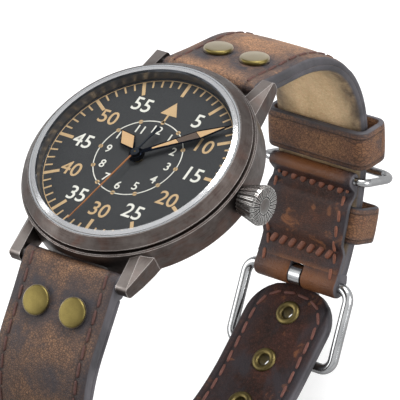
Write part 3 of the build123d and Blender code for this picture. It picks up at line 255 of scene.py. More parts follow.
# The leather reads the unrolled place of each point, so that its grain follows the strap. "side"
# grows to 1 at the painted edge; the stain attribute marks the dark smudges by the rivets and also
# holds a painted shade on the inner face towards the case; "rub" marks the places worn to a bright
# brown. "smudge", "spots" and "net" say how much dark clouds, worn spots and the gaps between
# pebbles show. "grooveAt" is in metres from the middle, "creaseAt" is a side share.
def makeLeather(name, light, mid, dark, smudge, grooveAt=0.0, gloss=0.5,
                rubbedAndLit=(0.24, 0.09, 0.032), spots=0.0, creaseAt=0.0, net=0.7, shine=0.3):
    material, tree, shader, _ = startMaterial(name, Specular_IOR_Level=shine)
    flat = addNode(tree, "ShaderNodeAttribute", attribute_name="unrolled").outputs["Vector"]
    side, stain, rub = (addNode(tree, "ShaderNodeAttribute", attribute_name=kept).outputs["Fac"]
                        for kept in ("side", "stain", "rub"))
    slate = wearAndPaintedLight["slate"]
    clouds = noise(tree, flat, 130, 5, 0.62, 0.6)
    blots = noise(tree, flat, 60, 4, 0.6, 1.2)
    fine = noise(tree, flat, 1500, 4, 0.65)
    pebbles = addNode(tree, "ShaderNodeTexVoronoi", {"Vector": flat, "Scale": 2300.0})
    cells = addNode(tree, "ShaderNodeTexVoronoi", {"Vector": flat, "Scale": 2300.0},
                    feature="DISTANCE_TO_EDGE").outputs["Distance"]
    creases = noise(tree, stretched(tree, flat, (90, 700, 300)), 1.0, 4, 0.6, 0.8)
    base = ramp(tree, clouds, [(0.28, dark), (0.46, mid), (0.68, light)])
    tone = addNode(tree, "ShaderNodeSeparateColor", {"Color": pebbles.outputs["Color"]}).outputs[0]
    base = layer(tree, base, tone, 0.0, 1.0, 0.3, toned(light, 1.35))
    base = layer(tree, base, fine, 0.35, 0.7, 0.4, dark)
    base = layer(tree, base, cells, 0.16, 0.02, net, toned(dark, 0.75))
    base = layer(tree, base, blots, 0.52, 0.66, smudge, slate)
    worn = noise(tree, flat, 260, 4, 0.6, 0.4)
    base = layer(tree, base, worn, 0.60, 0.68, spots, toned(rubbedAndLit, 1.5))
    base = mixColor(tree, times(tree, rub, spread(tree, clouds, 0.3, 0.55, 0.45, 1.0)),
                    base, rubbedAndLit)
    # Rivet stains, and on the inner face a painted shade towards the case.
    stainedAndShaded = times(tree, stain, spread(tree, worn, 0.32, 0.55, 0.35, 1.0))
    base = mixColor(tree, stainedAndShaded, base, slate)
    nearEdge = spread(tree, side, 0.34, 0.74, 0.0, 0.95)
    nearEdge = times(tree, nearEdge, spread(tree, clouds, 0.35, 0.65, 1.0, 0.35))
    base = mixColor(tree, nearEdge, base, slate)
    paint = ramp(tree, blots, list(zip((0.35, 0.6), wearAndPaintedLight["edgePaint"])))
    base = mixColor(tree, spread(tree, side, 0.86, 0.98), base, paint)
    folds = calc(tree, "ADD", times(tree, fine, 0.5),
                 times(tree, creases, 0.6))
    height = calc(tree, "ADD", times(tree, spread(tree, cells, 0.0, 0.25), 0.55), folds)
    height = times(tree, height, spread(tree, side, 0.98, 0.8))
    if grooveAt:
        x = addNode(tree, "ShaderNodeSeparateXYZ", {"Vector": flat}).outputs["X"]
        off = calc(tree, "ABSOLUTE", calc(tree, "SUBTRACT", calc(tree, "ABSOLUTE", x), grooveAt))
        groove = spread(tree, off, 0.0006, 0.0)
        height = calc(tree, "SUBTRACT", height, times(tree, groove, 3.0))
        base = mixColor(tree, times(tree, groove, 0.6), base, toned(dark, 0.5))
    if creaseAt:
        off = calc(tree, "ABSOLUTE", calc(tree, "SUBTRACT", side, creaseAt))
        crease = spread(tree, off, 0.06, 0.0)
        height = calc(tree, "SUBTRACT", height, times(tree, crease, 2.5))
        base = mixColor(tree, times(tree, crease, 0.65), base, toned(dark, 0.6))
    rough = calc(tree, "ADD", spread(tree, clouds, 0.3, 0.7, gloss + 0.02, gloss + 0.16),
                 spread(tree, fine, 0.3, 0.7, -0.06, 0.06))
    rough = calc(tree, "SUBTRACT", rough, times(tree, rub, 0.12))
    feed(tree, shader, Base_Color=base, Roughness=rough,
         Normal=bump(tree, height, 0.00007, 0.8))
    return material


def makePaint(name, color, rough, grainScale=7000, grainDepth=0.000012, vary=0.15, gloss=0.5):
    material, tree, shader, coords = startMaterial(name, Specular_IOR_Level=gloss)
    grain = noise(tree, coords, grainScale, 3, 0.6)
    cloud = noise(tree, coords, 300, 4)
    base = layer(tree, color, grain, 0.3, 0.7, vary, toned(color, 0.6))
    base = layer(tree, base, cloud, 0.35, 0.7, vary, toned(color, 1.25, 0.004))
    feed(tree, shader, Base_Color=base,
         Roughness=spread(tree, grain, 0.3, 0.7, rough - 0.05, rough + 0.06),
         Normal=bump(tree, grain, grainDepth, 0.4))
    return material


# Clear flat glass that mirrors on its outer faces only. Past "rimAt" from the axis and above
# "rimFrom" it is the bevel, which mirrors far more and is a little ground.
def makeGlass(name, rimAt, rimFrom):
    material, tree, shader, coords = startMaterial(name, Base_Color=(0.50, 0.51, 0.53))
    x, y, z = addNode(tree, "ShaderNodeSeparateXYZ", {"Vector": coords}).outputs
    onRim = spread(tree, reachFrom(tree, x, y), rimAt * mm, (rimAt + 0.08) * mm)
    onRim = times(tree, onRim, spread(tree, z, rimFrom * mm, (rimFrom + 0.02) * mm))
    ground = noise(tree, coords, 900, 4, 0.6)
    feed(tree, shader, Roughness=spread(tree, ground, 0.3, 0.7, 0.3, 0.5))
    smears = noise(tree, coords, 300, 4, 0.6)
    clear = addNode(tree, "ShaderNodeBsdfTransparent", {"Color": (0.97, 0.98, 0.98, 1)})
    gloss = addNode(tree, "ShaderNodeBsdfAnisotropic",
                    {"Roughness": spread(tree, smears, 0.35, 0.75, 0.0, 0.04)})
    rimGloss = addNode(tree, "ShaderNodeBsdfAnisotropic",
                       {"Roughness": spread(tree, ground, 0.3, 0.7, 0.08, 0.2)})
    shine = addNode(tree, "ShaderNodeFresnel", {"IOR": 1.38}).outputs["Fac"]
    back = addNode(tree, "ShaderNodeNewGeometry").outputs["Backfacing"]
    shine = times(tree, shine, calc(tree, "SUBTRACT", 1.0, back))
    face = addNode(tree, "ShaderNodeMixShader", {0: shine})
    rim = addNode(tree, "ShaderNodeMixShader", {0: 0.4})
    bevel = addNode(tree, "ShaderNodeMixShader", {0: 0.68})
    both = addNode(tree, "ShaderNodeMixShader", {0: onRim})
    for first, second, mixed in ((clear, gloss, face), (rimGloss, shader, rim), (clear, rim, bevel),
                                 (face, bevel, both)):
        tree.links.new(first.outputs[0], mixed.inputs[1])
        tree.links.new(second.outputs[0], mixed.inputs[2])
    tree.links.new(both.outputs[0], tree.nodes["Material Output"].inputs["Surface"])
    return material


def makeThread(name, color):
    material, tree, shader, coords = startMaterial(name)
    twist = noise(tree, stretched(tree, coords, (5200, 5200, 5200)), 1.0, 2)
    cloud = noise(tree, coords, 500, 3)
    base = layer(tree, color, twist, 0.35, 0.65, 0.6, toned(color, 0.4))
    base = layer(tree, base, cloud, 0.4, 0.75, 0.35, toned(color, 1.8, 0.02))
    feed(tree, shader, Base_Color=base, Roughness=spread(tree, twist, 0.3, 0.7, 0.5, 0.75),
         Normal=bump(tree, twist, 0.00004, 0.8))
    return material


# A hand painted along its pointer only; its hub and tail stay dark.
def makeTwoToneHand(name, color, dark, turn, start):
    material, tree, shader, coords = startMaterial(name, Metallic=0.7)
    away = addNode(tree, "ShaderNodeVectorMath", {
        0: coords, 1: (sin(radians(turn)), cos(radians(turn)), 0.0)}, operation="DOT_PRODUCT")
    onPointer = spread(tree, away.outputs["Value"], start * mm, (start + 0.05) * mm)
    cloud = noise(tree, coords, 900, 4)
    base = mixColor(tree, onPointer, dark, color)
    base = layer(tree, base, cloud, 0.35, 0.75, 0.3, toned(dark, 0.6))
    feed(tree, shader, Base_Color=base, Roughness=spread(tree, cloud, 0.3, 0.7, 0.28, 0.4))
    return material


steelCase = makeWornSteel("steelCase", (0.046, 0.032, 0.028), (0.15, 0.132, 0.122), 0.36,
                          lightPast=0.0212)
steelCrown = makeWornSteel("steelCrown", (0.10, 0.095, 0.09), (0.26, 0.255, 0.245), 0.33,
                           grooveShadeReach=0.3)
steelRing = makeSatinMetal("steelRing", (0.30, 0.31, 0.34), 0.34, (300, 300, 300), 0.12)
gasketPale = makePaint("gasketPale", (0.30, 0.31, 0.32), 0.45)
steelInner = makeSatinMetal("steelInner", (0.55, 0.55, 0.55), 0.3)
steelPolished = makePolishedSteel("steelPolished", (0.36, 0.365, 0.37), (0.52, 0.525, 0.53))
# The rivets' brass, with a painted sheen at a slant.
brassAged = makeAgedBrass("brassAged", (0.115, 0.090, 0.030), (0.165, 0.130, 0.043),
                          (0.50, 0.42, 0.21), 0.75)
brassDull = makeAgedBrass("brassDull", (0.085, 0.066, 0.028), (0.185, 0.145, 0.055),
                          (0.50, 0.42, 0.20))
plateMetal = makeSatinMetal("plateMetal", (0.62, 0.58, 0.50), 0.34, (400, 9000, 400))
wheelBrass = makeSatinMetal("wheelBrass", (0.72, 0.52, 0.22), 0.26)
rubberBlack = makePaint("rubberBlack", (0.02, 0.02, 0.02), 0.7)
holderPlastic = makePaint("holderPlastic", (0.60, 0.57, 0.50), 0.5)
jewelRed = makePaint("jewelRed", (0.45, 0.02, 0.06), 0.12)
dialPaint = makePaint("dialPaint", (0.016, 0.016, 0.0175), 0.72, 2500, 0.000001, 0.12)
printCream = makePaint("printCream", (0.68, 0.65, 0.585), 0.6, vary=0.05)
printSand = makePaint("printSand", (0.50, 0.33, 0.17), 0.65, vary=0.18)
lumeSand = makePaint("lumeSand", (0.53, 0.325, 0.16), 0.7, 5000, 0.00004, 0.25)
# A painted dark reflection lying over the middle of the minute hand's lume.
lumeAged = makePaint("lumeAged", (0.075, 0.045, 0.030), 0.6, 5000, 0.00004, 0.4)
handBlue = makeSatinMetal("handBlue", (0.016, 0.024, 0.045), 0.22, shade=0.4)
copperHand = makeTwoToneHand("copperHand", (0.66, 0.27, 0.11), (0.03, 0.035, 0.045), 191.5, 1.0)
crystalGlass = makeGlass("crystalGlass", 17.5, 11.06)
# One leather on both halves: the twelve copy is painted lighter as lit, the six darker as shaded.
leatherUpper = makeLeather("leatherUpper", (0.47, 0.250, 0.125), (0.275, 0.145, 0.080),
                           (0.070, 0.045, 0.036), 0.6, 0.0079)
leatherStrap = makeLeather("leatherStrap", (0.31, 0.165, 0.086), (0.155, 0.082, 0.048),
                           (0.038, 0.026, 0.022), 0.85, 0.0079, net=0.8)
leatherPlain = makeLeather("leatherPlain", (0.31, 0.155, 0.072), (0.180, 0.082, 0.042),
                           (0.045, 0.025, 0.019), 0.8, creaseAt=0.53)
leatherDark = makeLeather("leatherDark", (0.080, 0.029, 0.019), (0.026, 0.013, 0.010),
                          (0.010, 0.008, 0.008), 0.7, 0.0074, 0.38, spots=0.35, net=0.5, shine=0.12)
leatherTan = makeLeather("leatherTan", (0.92, 0.66, 0.40), (0.80, 0.55, 0.31),
                         (0.56, 0.36, 0.18), 0.1, net=0.2)
leatherFlap = makeLeather("leatherFlap", (0.125, 0.048, 0.027), (0.058, 0.026, 0.019),
                          (0.020, 0.014, 0.012), 0.7, gloss=0.34, rubbedAndLit=(0.19, 0.075, 0.030),
                          spots=0.75, net=0.5, shine=0.2)
boreShade = makePaint("boreShade", (0.008, 0.006, 0.005), 0.9, vary=0.2, gloss=0.08)
threadRed = makeThread("threadRed", (0.072, 0.024, 0.017))
threadRust = makeThread("threadRust", (0.21, 0.070, 0.035))
threadBrown = makeThread("threadBrown", (0.135, 0.045, 0.030))
print("materials ready")

finishes = {
    steelCase: ["mid_case", "bezel", "case_back"],
    steelCrown: ["crown"],
    steelRing: ["rehaut_ring"],
    steelInner: ["crown_tube", "spring_bar_12", "spring_bar_6", "winding_stem", "winding_pinion",
                 "sliding_pinion", "bridge_screws", "hairspring", "pallet_fork", "escape_wheel"],
    steelPolished: ["ring_keeper", "buckle_frame", "buckle_prong"],
    brassAged: ["strap_12_rivets", "strap_6_rivets"],
    brassDull: ["strap_eyelets"],
    plateMetal: ["mainplate", "barrel_bridge", "train_bridge", "balance_cock", "rotor",
                 "rotor_bearing"],
    wheelBrass: ["barrel", "center_wheel", "third_wheel", "fourth_wheel", "balance_wheel",
                 "cannon_pinion", "minute_wheel", "hour_wheel"],
    gasketPale: ["crystal_gasket"],
    rubberBlack: ["case_back_gasket", "crown_gasket"],
    holderPlastic: ["movement_holder"],
    jewelRed: ["train_jewels"],
    dialPaint: ["dial"],
    handBlue: ["hour_hand", "minute_hand"],
    copperHand: ["second_hand"],
    crystalGlass: ["crystal"],
}
for material, names in finishes.items():
    for name in names:
        node = nodes[name]
        node.data.materials.clear()
        node.data.materials.append(material)
print("CAD nodes finished")


def newObject(name, data, *materials):
    made = bpy.data.objects.new(name, data)
    bpy.context.scene.collection.objects.link(made)
    for material in materials:
        data.materials.append(material)
    return made


# What an object shows with its modifiers on, as a plain mesh.
def shownMesh(made):
    bpy.context.view_layer.update()
    shown = made.evaluated_get(bpy.context.evaluated_depsgraph_get())
    return bpy.data.meshes.new_from_object(shown)


def meshOf(name, points, faces, smooth=True):
    mesh = bpy.data.meshes.new(name)
    mesh.from_pydata([tuple(p) for p in points], [], faces)
    mesh.polygons.foreach_set("use_smooth", [smooth] * len(mesh.polygons))
    mesh.update()
    if smooth:
        mesh.set_sharp_from_angle(angle=radians(50))
    return mesh


# Faces between rings of points that follow each other; a loop of rings faces the other way.
def ringFaces(rings, count, first=0, loop=False):
    faces = []
    for index in range(rings if loop else rings - 1):
        near, far = first + index * count, first + (index + 1) % rings * count
        for place in range(count):
            after = (place + 1) % count
            faces.append((near + place, far + place, far + after, near + after) if loop else
                         (near + place, near + after, far + after, far + place))
    return faces


# An outline of (radius, height) turned about the Z axis. Without "closed" it has no faces between
# its last point and its first, but a disc at each.
def latheMesh(name, outline, sections, closed=True, smooth=True):
    points, count = [], len(outline)
    for index in range(sections):
        a = 2 * pi * index / sections
        for r, z in outline:
            points.append((r * cos(a) * mm, r * sin(a) * mm, z * mm))
    faces = ringFaces(sections, count, loop=True)
    if not closed:
        faces = [face for place, face in enumerate(faces) if (place + 1) % count]
        faces.append(tuple(index * count for index in range(sections - 1, -1, -1)))
        faces.append(tuple(index * count + count - 1 for index in range(sections)))
    return meshOf(name, points, faces, smooth)


# Runs a Geometry Nodes tree on an object and keeps what it makes as a plain mesh.
def growMesh(name, tree, values, start=None):
    holder = newObject(name, start or bpy.data.meshes.new(name + "Start"))
    grow = holder.modifiers.new("grow", "NODES")
    grow.node_group = tree
    for item in tree.interface.items_tree:
        if item.item_type == "SOCKET" and item.in_out == "INPUT" and item.name in values:
            grow[item.identifier] = values[item.name]
    mesh = shownMesh(holder)
    holder.modifiers.clear()
    holder.data = mesh
    mesh.name = name
    return holder


def startTree(name, inputs):
    tree = bpy.data.node_groups.new(name, "GeometryNodeTree")
    tree.interface.new_socket("Geometry", in_out="OUTPUT", socket_type="NodeSocketGeometry")
    for label, kind in inputs:
        tree.interface.new_socket(label, in_out="INPUT", socket_type="NodeSocket" + kind)
    source = tree.nodes.new("NodeGroupInput").outputs
    return tree, source


def endTree(tree, geometry, material):
    solid = addNode(tree, "GeometryNodeRealizeInstances", {"Geometry": geometry})
    painted = addNode(tree, "GeometryNodeSetMaterial",
                      {"Geometry": solid.outputs["Geometry"], "Material": material})
    addNode(tree, "NodeGroupOutput", {"Geometry": painted.outputs["Geometry"]})
    return tree


# Sizes are in mm: reaches and radii from the dial's middle, "z" in the frame of the watch.
dial = {
    "z": 8.8, "printHeight": 0.03,
    "outerRing": 16.98, "outerRingWidth": 0.12, "innerRing": 8.0, "innerRingWidth": 0.18,
    "ringSections": 180,
    "longTick": (14.05, 16.9, 0.62), "shortTick": (15.5, 16.9, 0.32),
    "hourDotRadius": 0.41, "minuteNumberRadius": 11.9, "minuteNumberHeight": 2.85,
    "hourNumberRadius": 6.3, "hourNumberHeight": 1.65, "numberWeight": 0.008,
    "triangleBase": 9.75, "triangleTip": 12.6, "triangleHalf": 1.7, "stemStart": 8.05,
    "stemHalf": 0.18,
}


# Bars or dots round the dial; every fifth place is either the only one kept or left out.
def makeMarksTree():
    tree, source = startTree("dialMarks", [
        ("Count", "Int"), ("Radius", "Float"), ("Bar Size", "Vector"), ("Dot Radius", "Float"),
        ("Skip Fifths", "Bool"), ("Height", "Float"), ("Material", "Material")])
    index = tree.nodes.new("GeometryNodeInputIndex").outputs["Index"]
    turn = calc(tree, "DIVIDE", times(tree, index, -2 * pi), source["Count"])
    sine = calc(tree, "SINE", times(tree, turn, -1.0))
    x = times(tree, sine, source["Radius"])
    y = times(tree, calc(tree, "COSINE", turn), source["Radius"])
    place = addNode(tree, "ShaderNodeCombineXYZ", {"X": x, "Y": y, "Z": source["Height"]})
    points = addNode(tree, "GeometryNodePoints",
                     {"Count": source["Count"], "Position": place.outputs["Vector"]})
    fifth = addNode(tree, "ShaderNodeMath", {0: index, 1: 5.0}, operation="MODULO")
    onFifth = calc(tree, "COMPARE", fifth.outputs["Value"], 0.0)
    drop = times(tree, onFifth, source["Skip Fifths"])
    kept = calc(tree, "SUBTRACT", 1.0, drop)
    bar = addNode(tree, "GeometryNodeMeshCube", {"Size": source["Bar Size"]})
    dot = addNode(tree, "GeometryNodeMeshCylinder", {
        "Vertices": 20, "Radius": source["Dot Radius"], "Depth": dial["printHeight"] * mm})
    both = addNode(tree, "GeometryNodeJoinGeometry")
    tree.links.new(bar.outputs["Mesh"], both.inputs["Geometry"])
    tree.links.new(dot.outputs["Mesh"], both.inputs["Geometry"])
    spin = addNode(tree, "ShaderNodeCombineXYZ", {"Z": turn})
    placed = addNode(tree, "GeometryNodeInstanceOnPoints", {
        "Points": points.outputs["Points"], "Selection": kept, "Instance": both.outputs["Geometry"],
        "Rotation": spin.outputs["Vector"]})
    return endTree(tree, placed.outputs["Instances"], source["Material"])


marksTree = makeMarksTree()


def addMarks(name, count, reach, width, dotRadius, skipFifths, material):
    low, high = reach
    made = growMesh(name, marksTree, {
        "Count": count, "Radius": (low + high) / 2 * mm,
        "Bar Size": (width * mm, (high - low) * mm, dial["printHeight"] * mm),
        "Dot Radius": dotRadius * mm, "Skip Fifths": skipFifths,
        "Height": (dial["z"] + dial["printHeight"] / 2) * mm, "Material": material})
    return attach(made, "case")


low, high, width = dial["longTick"]
addMarks("dialFiveMinuteBars", 12, (low, high), width, 0.0, False, printSand)
low, high, width = dial["shortTick"]
addMarks("dialMinuteTicks", 60, (low, high), width, 0.0, True, printSand)
addMarks("dialHourDots", 12, (dial["innerRing"], dial["innerRing"]), 0.0,
         dial["hourDotRadius"], False, printSand)


def addRing(name, radius, width, low, high, material):
    profile = [(radius - width / 2, low), (radius + width / 2, low),
               (radius + width / 2, high), (radius - width / 2, high)]
    mesh = latheMesh(name, profile, dial["ringSections"], smooth=False)
    made = newObject(name, mesh, material)
    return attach(made, "case")


top = dial["z"] + dial["printHeight"]
addRing("dialMinuteRing", dial["outerRing"], dial["outerRingWidth"], dial["z"], top, printSand)
addRing("dialHourRing", dial["innerRing"], dial["innerRingWidth"], dial["z"], top, printCream)


# A number of the dial, scaled to its height and laid round its own middle.
def addNumber(name, text, x, y, height, material):
    curve = bpy.data.curves.new(name, "FONT")
    curve.body = text
    curve.align_x = "CENTER"
    curve.align_y = "CENTER"
    curve.offset = dial["numberWeight"]
    curve.extrude = 0.5
    curve.resolution_u = 4
    letter = newObject(name + "Letter", curve)
    mesh = shownMesh(letter)
    bpy.data.objects.remove(letter)
    ys = [v.co.y for v in mesh.vertices]
    xs = [v.co.x for v in mesh.vertices]
    size = height / (max(ys) - min(ys))
    centre = Vector(((max(xs) + min(xs)) / 2, (max(ys) + min(ys)) / 2, 0))
    for vertex in mesh.vertices:
        flat = (vertex.co - centre) * size * mm
        vertex.co = (flat.x + x * mm, flat.y + y * mm,
                     (dial["z"] + dial["printHeight"] * (vertex.co.z + 0.5)) * mm)
    made = newObject(name, mesh, material)
    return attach(made, "case")


for step in range(1, 12):
    angle = radians(step * 30)
    value = str(step * 5)
    x, y = dial["minuteNumberRadius"] * sin(angle), dial["minuteNumberRadius"] * cos(angle)
    addNumber(f"dialMinute{value}", value, x, y, dial["minuteNumberHeight"],
              printCream if step % 2 else printSand)
for hour in range(1, 13):
    angle = radians(hour * 30)
    x, y = dial["hourNumberRadius"] * sin(angle), dial["hourNumberRadius"] * cos(angle)
    addNumber(f"dialHour{hour}", str(hour), x, y, dial["hourNumberHeight"], printCream)


# A flat plate from an outline, turned clockwise about the Z axis by so many degrees.
def addPlate(name, outline, low, high, material, body, turn=0.0):
    count = len(outline)
    points = []
    a = radians(-turn)
    for z in (low, high):
        for x, y in outline:
            points.append(((x * cos(a) - y * sin(a)) * mm, (x * sin(a) + y * cos(a)) * mm, z * mm))
    faces = [tuple(range(count - 1, -1, -1)), tuple(range(count, 2 * count))]
    for index in range(count):
        after = (index + 1) % count
        faces.append((index, after, after + count, index + count))
    made = newObject(name, meshOf(name, points, faces, False), material)
    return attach(made, body)


base, half = dial["triangleBase"], dial["triangleHalf"]
addPlate("dialTwelveTriangle", [(-half, base), (half, base), (0, dial["triangleTip"])],
         dial["z"], top, printSand, "case")
start, half = dial["stemStart"], dial["stemHalf"]
addPlate("dialTwelveStem", [(-half, start), (half, start), (half, base), (-half, base)],
         dial["z"], top, printSand, "case")
print("dial printed")


hands = {
    "fillHeight": 0.02, "thick": 0.16,
    "hour": {"z": 9.4, "turn": 304.0,
             "outline": [(0, 1.8), (1.28, 4.2), (0, 6.72), (-1.28, 4.2)]},
    "minuteInner": {"z": 9.9, "turn": 51.0,
                    "outline": [(-0.12, 2.9), (0.12, 2.9), (0.47, 7.6), (-0.47, 7.2)]},
    "minuteOuter": {"z": 9.9, "turn": 51.0, "outline": [(-0.74, 10.9), (0.74, 11.4), (0, 15.9)]},
    # The minute hand's middle fill is a painted dark reflection over its lume.
    "minuteAged": {"z": 9.9, "turn": 51.0,
                   "outline": [(-0.50, 7.3), (0.50, 7.7), (0.72, 11.3), (-0.72, 10.8)]},
}
for which, body, fill in (("hour", "hour_body", lumeSand),
                          ("minuteInner", "minute_body", lumeSand),
                          ("minuteOuter", "minute_body", lumeSand),
                          ("minuteAged", "minute_body", lumeAged)):
    hand = hands[which]
    low = hand["z"] + hands["thick"]
    addPlate(which + "HandFill", hand["outline"], low, low + hands["fillHeight"], fill,
             body, hand["turn"])
print("hands filled")


# Sizes are in mm. A run goes along the strap from its spring bar, a depth inward from its outer
# face, and each path holds (length, radius) of its pieces, with radius 0 for a straight one.
strap = {
    "barY": 22.2, "barZ": 5.2, "startAngle": -30.3, "thick": 3.4, "thin": 2.6, "lining": 1.1,
    "flatRun": 12.0, "paddingEnd": 30.0, "halfWidth": 10.0, "endHalfWidth": 9.1,
    "taperStart": -4.0, "taperEnd": -45.0, "tailRound": 7.5, "liningStart": 2.6,
    "leatherEnd": 74.9, "tailEnd": 126.5,
    "twelvePath": ((12.0, 0), (33.6, 23.3), (31.9, 48.7)),
    "sixPath": ((12.0, 0), (24.3, 23.3), (73.0, 40.8), (17.2, 0)),
    "crown": 0.5, "crownStart": 0.6, "crownRun": 6, "thinCrown": 0.75, "step": 1.0,
    "liningGap": 0.02, "noseShares": (0.995, 0.97, 0.9, 0.78, 0.6, 0.4, 0.2),
    "stainRun": 5.9, "stainX": 3.9, "stainReach": 6.4, "stainSoft": 2.9,
    # The lining keys give a painted shade on the inner face towards the case.
    "liningShade": 0.7, "liningShadeEnd": 31.0, "liningShadeSoft": 14.0,
    "sideSlope": 0.8, "outerCorner": 0.85, "innerCorner": 0.9,
}


# Where the outer face is at a run, and how it is headed there; the last piece goes on for ever.
def strapStation(path, run):
    heading = radians(strap["startAngle"])
    y = strap["barY"] - strap["thick"] / 2 * sin(heading)
    z = strap["barZ"] + strap["thick"] / 2 * cos(heading)
    left = run
    for index, (length, radius) in enumerate(path):
        step = left if index == len(path) - 1 or left < 0 else min(left, length)
        if radius and step > 0:
            turn = step / radius
            y += radius * (sin(heading) - sin(heading - turn))
            z += radius * (cos(heading - turn) - cos(heading))
            heading -= turn
        else:
            y += step * cos(heading)
            z += step * sin(heading)
        left -= step
        if left == 0:
            break
    return y, z, heading


def thicknessAt(run):
    share = min(1, max(0, (run - strap["flatRun"]) / (strap["paddingEnd"] - strap["flatRun"])))
    return strap["thick"] + (strap["thin"] - strap["thick"]) * (1 - cos(pi * share)) / 2


def halfWidthAt(path, run, tail=0.0):
    z = strapStation(path, run)[1]
    share = min(1, max(0, (strap["taperStart"] - z) / (strap["taperStart"] - strap["taperEnd"])))
    half = strap["halfWidth"] + (strap["endHalfWidth"] - strap["halfWidth"]) * share
    left = tail - run
    if tail and left < strap["tailRound"]:
        r = strap["tailRound"]
        half = strap["endHalfWidth"] - r + sqrt(max(0, r * r - (r - left) ** 2))
    return half


# One closed ring of (x, depth, side share) across the strap: outer face, edge, inner face, edge.
# The outer face falls off towards its edges by the crown, and its edges are more rounded.
def crossRing(half, outer, inner, crown, across=20, outRound=0.42, inRound=0.04):
    rounding = min(outRound, abs(inner - outer) / 2.2)
    slope = strap["sideSlope"]
    ring = []
    for index in range(across + 1):
        x = (2 * index / across - 1) * (half - rounding)
        side = abs(x) / half * slope if index else strap["outerCorner"]
        ring.append((x, outer + crown * abs(x / half) ** 3, side))
    edgeTop = outer + crown
    for angle in (35, 70, 90):
        a = radians(angle)
        ring.append((half - rounding + rounding * sin(a), edgeTop + rounding * (1 - cos(a)), 1.0))
    ring.append((half, inner - inRound, 1.0))
    for index in range(9):
        x = (1 - 2 * index / 8) * (half - inRound)
        side = abs(x) / half * slope if 0 < index < 8 else strap["innerCorner"]
        ring.append((x, inner, side))
    ring.append((-half, inner - inRound, 1.0))
    for angle in (90, 70, 35):
        a = radians(angle)
        ring.append((-half + rounding - rounding * sin(a), edgeTop + rounding * (1 - cos(a)), 1.0))
    return ring


# How dark the leather is: stained by the rivets, and with a painted shade on its inner face
# towards the case.
def stainAt(x, run, depth):
    away = min(sqrt((x - near) ** 2 + (run - strap["stainRun"]) ** 2)
               for near in (-strap["stainX"], strap["stainX"]))
    if depth >= 1:
        towards = (strap["liningShadeEnd"] - run) / strap["liningShadeSoft"]
        return min(strap["liningShade"], max(0, towards))
    return min(1, max(0, (strap["stainReach"] - away) / strap["stainSoft"]))


def keepValues(mesh, unrolled, **shares):
    mesh.attributes.new("unrolled", "FLOAT_VECTOR", "POINT").data.foreach_set("vector", unrolled)
    for key, values in shares.items():
        mesh.attributes.new(key, "FLOAT", "POINT").data.foreach_set("value", values)


# A leather piece as an object, with the values that its look reads and with its bores cut.
def finishLeather(name, points, faces, unrolled, sides, material, body, node, bores=(), **shares):
    mesh = meshOf(name, points, faces)
    keepValues(mesh, unrolled, side=sides, **shares)
    made = newObject(name, mesh, material)
    if bores:
        cutBores(made, bores)
    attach(made, body)
    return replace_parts(made, node)


# Rings of (x, run, depth, side share) skinned into one closed body with its unrolled place kept.
def skinStrap(name, path, rings, material, body, mirrored, node, bores):
    points, unrolled, sides, stainsAndShade = [], [], [], []
    count = len(rings[0])
    sign = -1 if mirrored else 1
    for ring in rings:
        for x, run, depth, side in ring:
            y, z, heading = strapStation(path, run)
            y, z = y + depth * sin(heading), z - depth * cos(heading)
            points.append((x * mm, sign * y * mm, z * mm))
            unrolled += [x * mm, sign * run * mm + (0.3 if mirrored else 0), depth * mm]
            sides.append(side)
            stainsAndShade.append(stainAt(x, run, depth))
    faces = ringFaces(len(rings), count)
    faces.append(tuple(range(count - 1, -1, -1)))
    faces.append(tuple(range((len(rings) - 1) * count, len(rings) * count)))
    if mirrored:
        faces = [face[::-1] for face in faces]
    return finishLeather(name, points, faces, unrolled, sides, material, body, node, bores,
                         stain=stainsAndShade)


studs = {
    "rivetRun": 6.8, "rivetX": 3.9, "headRadius": 2.65, "headHeight": 1.0, "shoulder": 0.4,
    "capRadius": 2.4, "capHeight": 0.5, "eyeletEnd": 5.9, "eyeletSpacing": 10.0,
    "eyeletCount": 5, "eyeletRadius": 2.4, "eyeletBore": 1.1, "eyeletWall": 0.35,
    "eyeletRoll": 0.4, "boreRadius": 1.3, "boreReach": (3.0, -7.0), "boreSides": 20,
    "stemHole": 0.8, "stemRadius": 0.9, "sides": 40,
    "headTop": ((1.7, 0.08), (1.1, 0.03), (0.6, 0.01), (0.1, 0)),     # radius and fall
}


# A spot on the strap and its way out; facing is 1 on the outer face and -1 on the inner.
def onStrap(path, x, run, depth, facing, mirrored):
    y, z, heading = strapStation(path, run)
    sign = -1 if mirrored else 1
    place = (x, sign * (y + depth * sin(heading)), z - depth * cos(heading))
    return place, (0, -sign * sin(heading) * facing, cos(heading) * facing)


